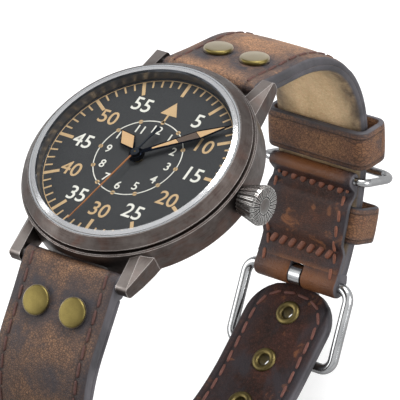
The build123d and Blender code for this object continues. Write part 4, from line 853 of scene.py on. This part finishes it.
# Bores for the eyelets are cut through a layer, and their walls get a near-black paint as painted
# shade.
def cutBores(made, spots):
    points, faces = [], []
    count = studs["boreSides"]
    for place, out in spots:
        first = len(points)
        axis = Vector(out)
        across = axis.cross(Vector((1, 0, 0)))
        for reach in studs["boreReach"]:
            for index in range(count):
                a = 2 * pi * index / count
                spoke = Vector((1, 0, 0)) * cos(a) + across * sin(a)
                points.append((Vector(place) + axis * reach + spoke * studs["boreRadius"]) * mm)
        faces += [tuple(range(first, first + count)),
                  tuple(range(first + 2 * count - 1, first + count - 1, -1))]
        for index in range(count):
            after = (index + 1) % count
            faces.append((first + count + index, first + count + after,
                          first + after, first + index))
    cutter = newObject(made.name + "Cutter", meshOf(made.name + "Cutter", points, faces, False))
    cut = made.modifiers.new("cut", "BOOLEAN")
    cut.object = cutter
    cut.solver = "EXACT"
    mesh = shownMesh(made)
    made.modifiers.clear()
    made.data = mesh
    bpy.data.objects.remove(cutter)
    mesh.materials.append(boreShade)
    near = studs["boreRadius"] + 0.05
    for face in mesh.polygons:
        corners = [mesh.vertices[index].co / mm for index in face.vertices]
        for place, out in spots:
            upright = abs(face.normal.dot(Vector(out))) < 0.3
            if upright and all((corner - Vector(place)).cross(Vector(out)).length < near
                               for corner in corners):
                face.material_index = len(mesh.materials) - 1


# Runs with about one "step" between them, both ends included.
def runsBetween(start, end):
    count = max(2, round((end - start) / strap["step"]))
    return [start + (end - start) * index / count for index in range(count + 1)]


# The upper leather has a round nose over the spring bar and leaves room for the lining.
def makeUpper(name, path, end, tail, material, body, mirrored, node, bores=()):
    rings = []
    r = strap["thick"] / 2
    for share in strap["noseShares"]:
        back = r * share
        rise = sqrt(r * r - back * back)
        crown = strap["crown"] * rise / r * strap["crownStart"]
        ring = crossRing(strap["halfWidth"], r - rise, r + rise, crown)
        rings.append([(x, -back, d, s) for x, d, s in ring])
    start, gap = strap["crownStart"], strap["liningGap"]
    for run in runsBetween(0, end - gap):
        thick = thicknessAt(run)
        inner = thick if run < strap["liningStart"] else thick - strap["lining"] - gap
        crown = strap["crown"] * (start + (1 - start) * min(1, run / strap["crownRun"]))
        if run > strap["paddingEnd"]:
            crown *= strap["thinCrown"]
        ring = crossRing(halfWidthAt(path, run, tail), 0, inner, crown)
        rings.append([(x, run, d, s) for x, d, s in ring])
    return skinStrap(name, path, rings, material, body, mirrored, node, bores)


def makeLining(name, path, end, tail, material, body, mirrored, node, bores=()):
    rings = []
    for run in runsBetween(strap["liningStart"], end - strap["liningGap"]):
        thick = thicknessAt(run)
        ring = crossRing(halfWidthAt(path, run, tail), thick - strap["lining"], thick, 0.0,
                         10, 0.04, 0.3)
        rings.append([(x, run, d, s) for x, d, s in ring])
    return skinStrap(name, path, rings, material, body, mirrored, node, bores)


twelvePath, sixPath = strap["twelvePath"], strap["sixPath"]
eyeletRuns = [strap["tailEnd"] - studs["eyeletEnd"] - index * studs["eyeletSpacing"]
              for index in range(studs["eyeletCount"])]
eyeletPlaces = [onStrap(sixPath, 0, run, 0, 1, True) for run in eyeletRuns]
makeUpper("strapTwelveLeather", twelvePath, strap["leatherEnd"], 0.0, leatherUpper,
          "strap_12_body", False, "strap_12_leather")
makeLining("strapTwelveLining", twelvePath, strap["leatherEnd"], 0.0, leatherTan,
           "strap_12_body", False, "strap_12_lining")
makeUpper("strapSixLeather", sixPath, strap["tailEnd"], strap["tailEnd"], leatherStrap,
          "strap_6_body", True, "strap_6_leather", eyeletPlaces)
makeLining("strapSixLining", sixPath, strap["tailEnd"], strap["tailEnd"], leatherDark,
           "strap_6_body", True, "strap_6_lining", eyeletPlaces)
print("strap skinned")


keepers = {
    "round": 1.2, "innerHalfWidth": 10.0, "edge": 0.4, "bulge": 0.16, "arcSteps": 6,
    "sideSteps": 10, "grainAt": 40, "grainRuns": 3,
    "free": {"wall": 1.3, "run": 49.2, "length": 7.6, "depth": 3.4, "rise": 2.6},
    "fixed": {"wall": 1.0, "run": 65.0, "length": 6.9, "depth": 2.95, "rise": 3.1},
}


# Points and outward normals round a rounded rectangle, clockwise seen along the strap.
def roundedLoop(halfWidth, low, high, corner):
    loop = []
    arcSteps, sideSteps = keepers["arcSteps"], keepers["sideSteps"]
    centres = [(halfWidth - corner, high - corner, 0), (-halfWidth + corner, high - corner, 90),
               (-halfWidth + corner, low + corner, 180), (halfWidth - corner, low + corner, 270)]
    for index, (cx, cy, start) in enumerate(centres):
        for step in range(arcSteps + 1):
            a = radians(start + 90 * step / arcSteps)
            loop.append(((cx + corner * cos(a), cy + corner * sin(a)), (cos(a), sin(a))))
        nx, ny, _ = centres[(index + 1) % 4]
        a = radians(start + 90)
        first = (cx + corner * cos(a), cy + corner * sin(a))
        last = (nx + corner * cos(a), ny + corner * sin(a))
        for step in range(1, sideSteps):
            t = step / sideSteps
            loop.append(((first[0] + (last[0] - first[0]) * t, first[1] + (last[1] - first[1]) * t),
                         (cos(a), sin(a))))
    return loop


# A closed leather band round the strap: a section of (offset outward, along, side share) is
# carried round the loop. Each keeper reads a patch of the leather's pattern of its own.
def makeKeeper(name, size, material, body, node):
    wall, edge, length, bulge = size["wall"], keepers["edge"], size["length"], keepers["bulge"]
    section = []
    for index in range(9):
        w = (index / 8 * 2 - 1) * (length / 2 - edge)
        section.append((wall - bulge * (abs(w) / (length / 2)) ** 3, w, abs(w) / length * 1.5))
    for angle in (40, 90):
        a = radians(angle)
        section.append((wall - bulge - edge * (1 - cos(a)), length / 2 - edge * (1 - sin(a)), 1.0))
    section.append((edge * 0.4, length / 2, 1.0))
    for index in range(5):
        w = (1 - index / 4 * 2) * (length / 2 - edge * 0.5)
        section.append((0.0, w, abs(w) / length))
    section.append((edge * 0.4, -length / 2, 1.0))
    for angle in (90, 40):
        a = radians(angle)
        section.append((wall - bulge - edge * (1 - cos(a)), -length / 2 + edge * (1 - sin(a)), 1.0))
    loop = roundedLoop(keepers["innerHalfWidth"], -size["depth"], size["rise"], keepers["round"])
    y, z, heading = strapStation(twelvePath, size["run"])
    points, unrolled, sides = [], [], []
    walked, before = 0.0, loop[0][0]
    for (x, out), (nx, no) in loop:
        walked += sqrt((x - before[0]) ** 2 + (out - before[1]) ** 2)
        before = (x, out)
        for offset, along, side in section:
            px, po = x + nx * offset, out + no * offset
            points.append((px * mm, (y - po * sin(heading) + along * cos(heading)) * mm,
                           (z + po * cos(heading) + along * sin(heading)) * mm))
            unrolled += [(walked + keepers["grainAt"]) * mm,
                         (along + size["run"] * keepers["grainRuns"]) * mm, offset * mm]
            sides.append(side)
    faces = ringFaces(len(loop), len(section), loop=True)
    return finishLeather(name, points, faces, unrolled, sides, material, body, node)


makeKeeper("freeKeeper", keepers["free"], leatherPlain, "free_keeper_body", "free_keeper")
makeKeeper("fixedKeeper", keepers["fixed"], leatherPlain, "strap_12_body", "fixed_keeper")

flap = {
    "start": 55.6, "end": 77.5, "upper": 2.62, "lower": 3.8, "rollRadius": 2.2, "rollDepth": 1.7,
    "ringRadius": 1.6, "ringDepth": 4.2, "slotHalf": 1.45, "leatherEnd": 74.95, "pocketHalf": 3.8,
    "pocketRise": 1.7, "slopeRun": 2.6, "bandEnd": 75.25, "bandStations": 18, "widthAt": 66,
    "rollInset": 0.05, "rollStart": 72.5, "overTip": (76.2, -0.42), "tipStep": 0.3,
    "edgeRun": 0.4, "edgeSteps": ((0.0, 0.35), (0.15, 0.12)), "edgeSink": 0.6,
    "rubPast": 75.2, "rubRun": 0.6, "grainAt": 90,
}


# The flap stands off the strap where the fixed keeper passes under it.
def flapRise(run):
    past = abs(run - keepers["fixed"]["run"]) - flap["pocketHalf"]
    share = min(1, max(0, 1 - past / flap["slopeRun"]))
    return flap["pocketRise"] * (1 - cos(pi * share)) / 2


# The flap seen from its side, as run and depth: round the ring and along the strap.
def flapOutline():
    upper, lower = flap["upper"], flap["lower"]
    runs = [flap["bandEnd"] - index for index in range(flap["bandStations"])]
    outline = [(run, upper + flapRise(run)) for run in runs]
    for angle in range(90, 322, 21):
        a = radians(angle)
        outline.append((flap["start"] + flap["ringRadius"] * cos(a),
                        flap["ringDepth"] - flap["ringRadius"] * sin(a)))
    return outline + [(run, lower + flapRise(run)) for run in reversed(runs)]


# The roll round the buckle's bar, seen from its side; it starts inside the flap's band and ends
# on the end of the strap's leather.
def rollOutline():
    start, tip = flap["rollStart"], flap["leatherEnd"]
    outline = [(start, flap["upper"] + 0.05), (start, flap["lower"] - 0.04),
               (flap["bandEnd"] - 0.1, flap["lower"] - 0.04)]
    for angle in range(-107, 91, 18):
        a = radians(angle)
        outline.append((flap["end"] + flap["rollRadius"] * cos(a),
                        flap["rollDepth"] - flap["rollRadius"] * sin(a)))
    return outline + [flap["overTip"], (tip, 0.05), (tip - flap["tipStep"], 0.6),
                      (tip - flap["tipStep"], flap["upper"])]


# The band over the full width, and a roll on each side of the prong's slot. At the sides of each
# the outline sinks by a little, which rounds its edges.
def makeFlap():
    points, unrolled, sides, rubs, faces = [], [], [], [], []
    half = halfWidthAt(twelvePath, flap["widthAt"])
    slot, edge = flap["slotHalf"], flap["edgeRun"]
    rollHalf = half - flap["rollInset"]
    strips = ((-half, half, flapOutline()), (-rollHalf, -slot, rollOutline()),
              (slot, rollHalf, rollOutline()))
    for low, high, outline in strips:
        steps = 12 if high - low > half else 5
        stops = [(low + inward, sink) for inward, sink in flap["edgeSteps"]]
        stops += [(low + edge + (high - low - 2 * edge) * k / steps, 0.0) for k in range(steps + 1)]
        stops += [(high - inward, sink) for inward, sink in reversed(flap["edgeSteps"])]
        first = len(points)
        for x, sink in stops:
            for place, (run, depth) in enumerate(outline):
                before, after = outline[place - 1], outline[(place + 1) % len(outline)]
                dr, dd = after[0] - before[0], after[1] - before[1]
                size = sqrt(dr * dr + dd * dd)
                r = run + dd / size * sink * flap["edgeSink"]
                d = depth - dr / size * sink * flap["edgeSink"]
                y, z, heading = strapStation(twelvePath, r)
                points.append((x * mm, (y + d * sin(heading)) * mm, (z - d * cos(heading)) * mm))
                unrolled += [(x + flap["grainAt"]) * mm, run * mm, depth * mm]
                sides.append(1.0 if sink > 0.2 else max(0.0, abs(x) / half * 0.8))
                bent = r > flap["rubPast"] or r < flap["start"] + flap["rubRun"]
                rubs.append(1.0 if bent else 0.0)
        count = len(outline)
        faces += ringFaces(len(stops), count, first)
        faces.append(tuple(range(first + count - 1, first - 1, -1)))
        last = first + (len(stops) - 1) * count
        faces.append(tuple(range(last, last + count)))
    return finishLeather("buckleFlap", points, faces, unrolled, sides, leatherFlap,
                         "strap_12_body", "buckle_return_flap", rub=rubs)


makeFlap()
print("keepers and flap made")


stitching = {
    "spacing": 3.0, "length": 2.6, "thread": 0.26, "flat": 0.8, "slant": 4.0, "roundness": 0.62,
}
seams = {
    "start": 0.4, "twelveEnd": 74, "tailStart": 60, "inset": 2.1, "raised": 0.05, "sunk": 0.02,
    "flapStart": 57.5, "flapEnd": 75.5, "flapInset": 1.6,
    "rowRuns": (58.0, 71.6), "rowPlaces": (-6.2, -3.1, 0, 3.1, 6.2),
    "tail": {"thread": 0.3},
    "flapSides": {"spacing": 2.8, "length": 2.2, "slant": 8.0, "thread": 0.33},
    "flapRows": {"spacing": 1.95, "length": 2.3, "slant": 62.0, "thread": 0.58},
}


# A stitch on each step of a line of points; the line's points carry the way out of the leather.
def makeStitchTree():
    tree, source = startTree("stitchRow", [
        ("Line", "Geometry"), ("Spacing", "Float"), ("Stitch Size", "Vector"), ("Slant", "Float"),
        ("Roundness", "Float"), ("Material", "Material")])
    curve = addNode(tree, "GeometryNodeMeshToCurve", {"Mesh": source["Line"]})
    spaced = addNode(tree, "GeometryNodeResampleCurve",
                     {"Curve": curve.outputs["Curve"], "Length": source["Spacing"]}, mode="LENGTH")
    tangent = tree.nodes.new("GeometryNodeInputTangent").outputs["Tangent"]
    out = addNode(tree, "GeometryNodeInputNamedAttribute", {"Name": "out"},
                  data_type="FLOAT_VECTOR")
    along = addNode(tree, "FunctionNodeAlignRotationToVector", {"Vector": tangent}, axis="X")
    facing = addNode(tree, "FunctionNodeAlignRotationToVector", {
        "Rotation": along.outputs["Rotation"], "Vector": out.outputs["Attribute"]},
        axis="Z", pivot_axis="X")
    turn = addNode(tree, "ShaderNodeCombineXYZ", {"Z": source["Slant"]})
    slanted = addNode(tree, "FunctionNodeRotateRotation", {
        "Rotation": facing.outputs["Rotation"], "Rotate By": turn.outputs["Vector"]},
        rotation_space="LOCAL")
    stitch = addNode(tree, "GeometryNodeMeshUVSphere", {"Segments": 10, "Rings": 8, "Radius": 1.0})
    spot = tree.nodes.new("GeometryNodeInputPosition").outputs["Position"]
    parts = addNode(tree, "ShaderNodeSeparateXYZ", {"Vector": spot}).outputs
    boxed = tree.nodes.new("ShaderNodeCombineXYZ")
    for axis, part in zip("XYZ", parts):
        size = calc(tree, "POWER", calc(tree, "ABSOLUTE", part), source["Roundness"])
        tree.links.new(times(tree, calc(tree, "SIGN", part), size), boxed.inputs[axis])
    fuller = addNode(tree, "GeometryNodeSetPosition", {
        "Geometry": stitch.outputs["Mesh"], "Position": boxed.outputs["Vector"]})
    smooth = addNode(tree, "GeometryNodeSetShadeSmooth", {"Geometry": fuller.outputs["Geometry"]})
    placed = addNode(tree, "GeometryNodeInstanceOnPoints", {
        "Points": spaced.outputs["Curve"], "Instance": smooth.outputs["Geometry"],
        "Rotation": slanted.outputs["Rotation"], "Scale": source["Stitch Size"]})
    return endTree(tree, placed.outputs["Instances"], source["Material"])


stitchTree = makeStitchTree()


# Each line is a list of (point, way out), both in the model's frame and in mm. The stitching
# holds for every row, apart from the changes given.
def addStitches(name, lines, body, material=threadRed, **changes):
    sizes = {**stitching, **changes}
    points, outs, edges = [], [], []
    for line in lines:
        first = len(points)
        for place, out in line:
            points.append([c * mm for c in place])
            outs += list(out)
        edges += [(first + k, first + k + 1) for k in range(len(line) - 1)]
    mesh = bpy.data.meshes.new(name + "Line")
    mesh.from_pydata(points, edges, [])
    mesh.attributes.new("out", "FLOAT_VECTOR", "POINT").data.foreach_set("vector", outs)
    thick = sizes["thread"]
    made = growMesh(name, stitchTree, {
        "Spacing": sizes["spacing"] * mm, "Roundness": sizes["roundness"],
        "Stitch Size": (sizes["length"] / 2 * mm, thick * mm, thick * sizes["flat"] * mm),
        "Slant": radians(sizes["slant"]), "Material": material}, mesh)
    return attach(made, body)


# A line along each side of the strap. The depth comes from the run and the half width there.
def sideLines(path, start, end, depthAt, facing, mirrored, inset):
    lines = []
    for side in (1, -1):
        line = []
        for run in runsBetween(start, end):
            half = halfWidthAt(path, run)
            depth = depthAt(run, half)
            line.append(onStrap(path, side * (half - inset), run, depth, facing, mirrored))
        lines.append(line)
    return lines


def outerDepth(run, half):
    share = (half - seams["inset"]) / half
    return strap["crown"] * strap["thinCrown"] * share ** 3 + seams["raised"]


start, inset = seams["start"], seams["inset"]
tailEnd, tailRound = strap["tailEnd"], strap["tailRound"]
twelveLines = sideLines(twelvePath, start, seams["twelveEnd"], outerDepth, 1, False, inset)
addStitches("stitchesTwelve", twelveLines, "strap_12_body")
sixLines = sideLines(sixPath, start, tailEnd - tailRound, outerDepth, 1, True, inset)
addStitches("stitchesSix", sixLines, "strap_6_body")


# The stitch line of the tail's inner face runs up one side, round the tip and down the other.
def tailLoop():
    line = [(halfWidthAt(sixPath, run) - inset, run)
            for run in runsBetween(seams["tailStart"], tailEnd - tailRound)]
    r, half = tailRound - inset, strap["endHalfWidth"] - inset
    for angle in range(10, 91, 10):
        a = radians(angle)
        line.append((half - r + r * cos(a), tailEnd - tailRound + r * sin(a)))
    whole = line + [(-x, run) for x, run in reversed(line)]
    return [onStrap(sixPath, x, run, thicknessAt(run) - seams["sunk"], -1, True)
            for x, run in whole]


addStitches("stitchesTail", [tailLoop()], "strap_6_body", threadBrown, **seams["tail"])


def flapFace(run, half):
    return flap["lower"] + flapRise(run) - seams["sunk"]


flapLines = sideLines(twelvePath, seams["flapStart"], seams["flapEnd"], flapFace, -1, False,
                      seams["flapInset"])
addStitches("stitchesFlapSides", flapLines, "strap_12_body", threadRust, **seams["flapSides"])
crossRows = [[onStrap(twelvePath, x, run, flapFace(run, 0), -1, False)
              for x in seams["rowPlaces"]] for run in seams["rowRuns"]]
addStitches("stitchesFlapRows", crossRows, "strap_12_body", threadRust, **seams["flapRows"])
print("stitches placed")


# Copies of a small shape stand on points that carry their own way out.
def makeCopiesTree():
    tree, source = startTree("copiesOnPoints", [
        ("Places", "Geometry"), ("Shape", "Object"), ("Material", "Material")])
    shape = addNode(tree, "GeometryNodeObjectInfo", {"Object": source["Shape"]})
    out = addNode(tree, "GeometryNodeInputNamedAttribute", {"Name": "out"},
                  data_type="FLOAT_VECTOR")
    facing = addNode(tree, "FunctionNodeAlignRotationToVector",
                     {"Vector": out.outputs["Attribute"]}, axis="Z")
    placed = addNode(tree, "GeometryNodeInstanceOnPoints", {
        "Points": source["Places"], "Instance": shape.outputs["Geometry"],
        "Rotation": facing.outputs["Rotation"]})
    return endTree(tree, placed.outputs["Instances"], source["Material"])


copiesTree = makeCopiesTree()


def addCopies(name, shapeMesh, places, body, node, material):
    shape = newObject(name + "Shape", shapeMesh)
    mesh = bpy.data.meshes.new(name + "Places")
    mesh.from_pydata([[c * mm for c in place] for place, _ in places], [], [])
    outs = [c for _, out in places for c in out]
    mesh.attributes.new("out", "FLOAT_VECTOR", "POINT").data.foreach_set("vector", outs)
    made = growMesh(name, copiesTree, {"Shape": shape, "Material": material}, mesh)
    bpy.data.objects.remove(shape)
    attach(made, body)
    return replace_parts(made, node)


# From the cap on the lining, up the stem and over the head.
def rivetOutline():
    r, h, s = studs["headRadius"], studs["headHeight"], studs["shoulder"]
    cap, height, stem = studs["capRadius"], studs["capHeight"], studs["stemRadius"]
    thick = strap["thick"]
    outline = [(studs["stemHole"], -thick - height), (cap - 0.2, -thick - height),
               (cap, -thick - height * 0.6), (cap, -thick), (stem, -thick), (stem, 0.0),
               (r - 0.12, 0.02), (r, 0.16)]
    for angle in (0, 20, 40, 60, 80):
        a = radians(angle)
        outline.append((r - s + s * cos(a), h - 0.14 - s + s * sin(a)))
    return outline + [(radius, h - fall) for radius, fall in studs["headTop"]]


rivetMesh = latheMesh("rivetShape", rivetOutline(), studs["sides"], closed=False)
for name, path, body, node, mirrored in (
        ("rivetsTwelve", twelvePath, "strap_12_body", "strap_12_rivets", False),
        ("rivetsSix", sixPath, "strap_6_body", "strap_6_rivets", True)):
    places = [onStrap(path, x, studs["rivetRun"], 0, 1, mirrored)
              for x in (studs["rivetX"], -studs["rivetX"])]
    addCopies(name, rivetMesh.copy(), places, body, node, brassAged)


# From the bore over the rolled rim outside, and back through the leather to the rim inside.
def eyeletOutline():
    bore, far, thin = studs["eyeletBore"], studs["eyeletRadius"], strap["thin"]
    wall, roll, middle = bore + studs["eyeletWall"], studs["eyeletRoll"], (bore + far) / 2
    outline = [(bore, -thin), (bore, 0.0)]
    for angle in (160, 130, 100, 70, 40, 10):
        a = radians(angle)
        outline.append((middle + (far - bore) / 2 * cos(a), 0.05 + roll * sin(a)))
    outline += [(far, -0.02), (wall, -0.02), (wall, -thin + 0.02), (far, -thin + 0.02)]
    for angle in (-10, -40, -70, -100, -130, -160):
        a = radians(angle)
        outline.append((middle + (far - bore) / 2 * cos(a), -thin - 0.05 + roll * sin(a)))
    return outline


eyeletMesh = latheMesh("eyeletShape", eyeletOutline(), studs["sides"])
addCopies("eyelets", eyeletMesh, eyeletPlaces, "strap_6_body", "strap_eyelets", brassDull)
print("rivets and eyelets placed")


view = {
    "place": (0.2978828, -0.2212831, 0.3815358),
    "turn": (0.9029013, 0.2890982, 0.2340084, 0.2154799),
    "lens": 280.4436, "sensor": 36, "clip": (0.01, 20),
}
camera = bpy.data.cameras.new("photoView")
camera.sensor_width = view["sensor"]
camera.lens = view["lens"]
camera.clip_start, camera.clip_end = view["clip"]
cameraHolder = newObject("photoView", camera)
cameraHolder.location = view["place"]
cameraHolder.rotation_mode = "QUATERNION"
cameraHolder.rotation_quaternion = Quaternion(view["turn"])
bpy.context.scene.camera = cameraHolder

studio = {
    "lights": [                                                  # name, place, width, power
        ("keyLight", (0.10, 0.35, 0.55), 0.45, 5.2),
        ("fillLight", (-0.55, -0.25, 0.35), 0.6, 2.2),
        ("sideLight", (0.60, 0.10, 0.10), 0.4, 2.0)],
    "aim": (0, 0, -0.02), "lampHeight": 0.7,
    "backdropSeen": (1.0, 1.0, 1.0), "backdropLight": (0.48, 0.48, 0.49),
    "mirrored": [(0.0, (0.30, 0.29, 0.28)), (0.48, (0.22, 0.22, 0.23)),
                 (0.56, (0.75, 0.76, 0.78)), (0.8, (1.0, 1.0, 1.0))],
    "cardAt": (-0.57, 0.42, 0.71), "cardEdge": (0.89, 0.96), "cardColor": (0.16, 0.16, 0.17),
    "floorSize": 1.6, "floorGap": 0.0002, "floorColor": (0.42, 0.42, 0.42), "floorRough": 0.9,
    "floorGlow": (0.15, 0.70),
}
aim = Vector(studio["aim"])
for name, place, size, power in studio["lights"]:
    lamp = bpy.data.lights.new(name, "AREA")
    lamp.shape = "RECTANGLE"
    lamp.size = size
    lamp.size_y = size * studio["lampHeight"]
    lamp.energy = power
    holder = newObject(name, lamp)
    holder.location = place
    holder.rotation_mode = "QUATERNION"
    holder.rotation_quaternion = (aim - Vector(place)).to_track_quat("-Z", "Y")


# 1 for a ray that shows something straight on, in gloss or through glass, 0 for one that lights.
def seenDirectly(tree):
    path = tree.nodes.new("ShaderNodeLightPath").outputs
    seen = calc(tree, "MAXIMUM", path["Is Camera Ray"], path["Is Glossy Ray"])
    return calc(tree, "MAXIMUM", seen, path["Is Transmission Ray"])


# Gloss mirrors a room of its own: dark below, bright above, with a dark card up at the left.
world = bpy.data.worlds.new("studio")
world.use_nodes = True
sky = world.node_tree
background = sky.nodes["Background"]
path = sky.nodes.new("ShaderNodeLightPath").outputs
way = sky.nodes.new("ShaderNodeTexCoord").outputs["Generated"]
card = addNode(sky, "ShaderNodeVectorMath", {0: way, 1: studio["cardAt"]}, operation="DOT_PRODUCT")
height = addNode(sky, "ShaderNodeSeparateXYZ", {"Vector": way}).outputs["Z"]
gloss = ramp(sky, spread(sky, height, -1.0, 1.0), studio["mirrored"])
gloss = mixColor(sky, spread(sky, card.outputs["Value"], *studio["cardEdge"]), gloss,
                 studio["cardColor"])
indirect = calc(sky, "SUBTRACT", 1.0, path["Is Camera Ray"])
mirrored = calc(sky, "MULTIPLY", path["Is Glossy Ray"], indirect)
color = mixColor(sky, seenDirectly(sky), studio["backdropLight"], studio["backdropSeen"])
sky.links.new(mixColor(sky, mirrored, color, gloss), background.inputs["Color"])
bpy.context.scene.world = world

floorSize, floorZ = studio["floorSize"], cadBox[0][2] - studio["floorGap"]
floor = newObject("floor", meshOf("floor", [
    (-floorSize, -floorSize, floorZ), (floorSize, -floorSize, floorZ),
    (floorSize, floorSize, floorZ), (-floorSize, floorSize, floorZ)], [(0, 1, 2, 3)], False))
floorPaint = bpy.data.materials.new("floorPaint")
floorPaint.use_nodes = True
tree = floorPaint.node_tree
shader = tree.nodes["Principled BSDF"]
shader.inputs["Base Color"].default_value = (*studio["floorColor"], 1)
shader.inputs["Roughness"].default_value = studio["floorRough"]
direct = tree.nodes.new("ShaderNodeLightPath").outputs["Is Camera Ray"]
glow = addNode(tree, "ShaderNodeEmission",
               {"Strength": spread(tree, direct, 0.0, 1.0, *studio["floorGlow"])})
plain = addNode(tree, "ShaderNodeEmission", {"Strength": 0.0})
lit = addNode(tree, "ShaderNodeMixShader", {0: seenDirectly(tree)})
tree.links.new(plain.outputs["Emission"], lit.inputs[1])
tree.links.new(glow.outputs["Emission"], lit.inputs[2])
total = tree.nodes.new("ShaderNodeAddShader")
tree.links.new(shader.outputs["BSDF"], total.inputs[0])
tree.links.new(lit.outputs["Shader"], total.inputs[1])
tree.links.new(total.outputs["Shader"], tree.nodes["Material Output"].inputs["Surface"])
floor.data.materials.append(floorPaint)

bpy.context.scene.view_settings.view_transform = "Standard"
print("camera, light and floor set")
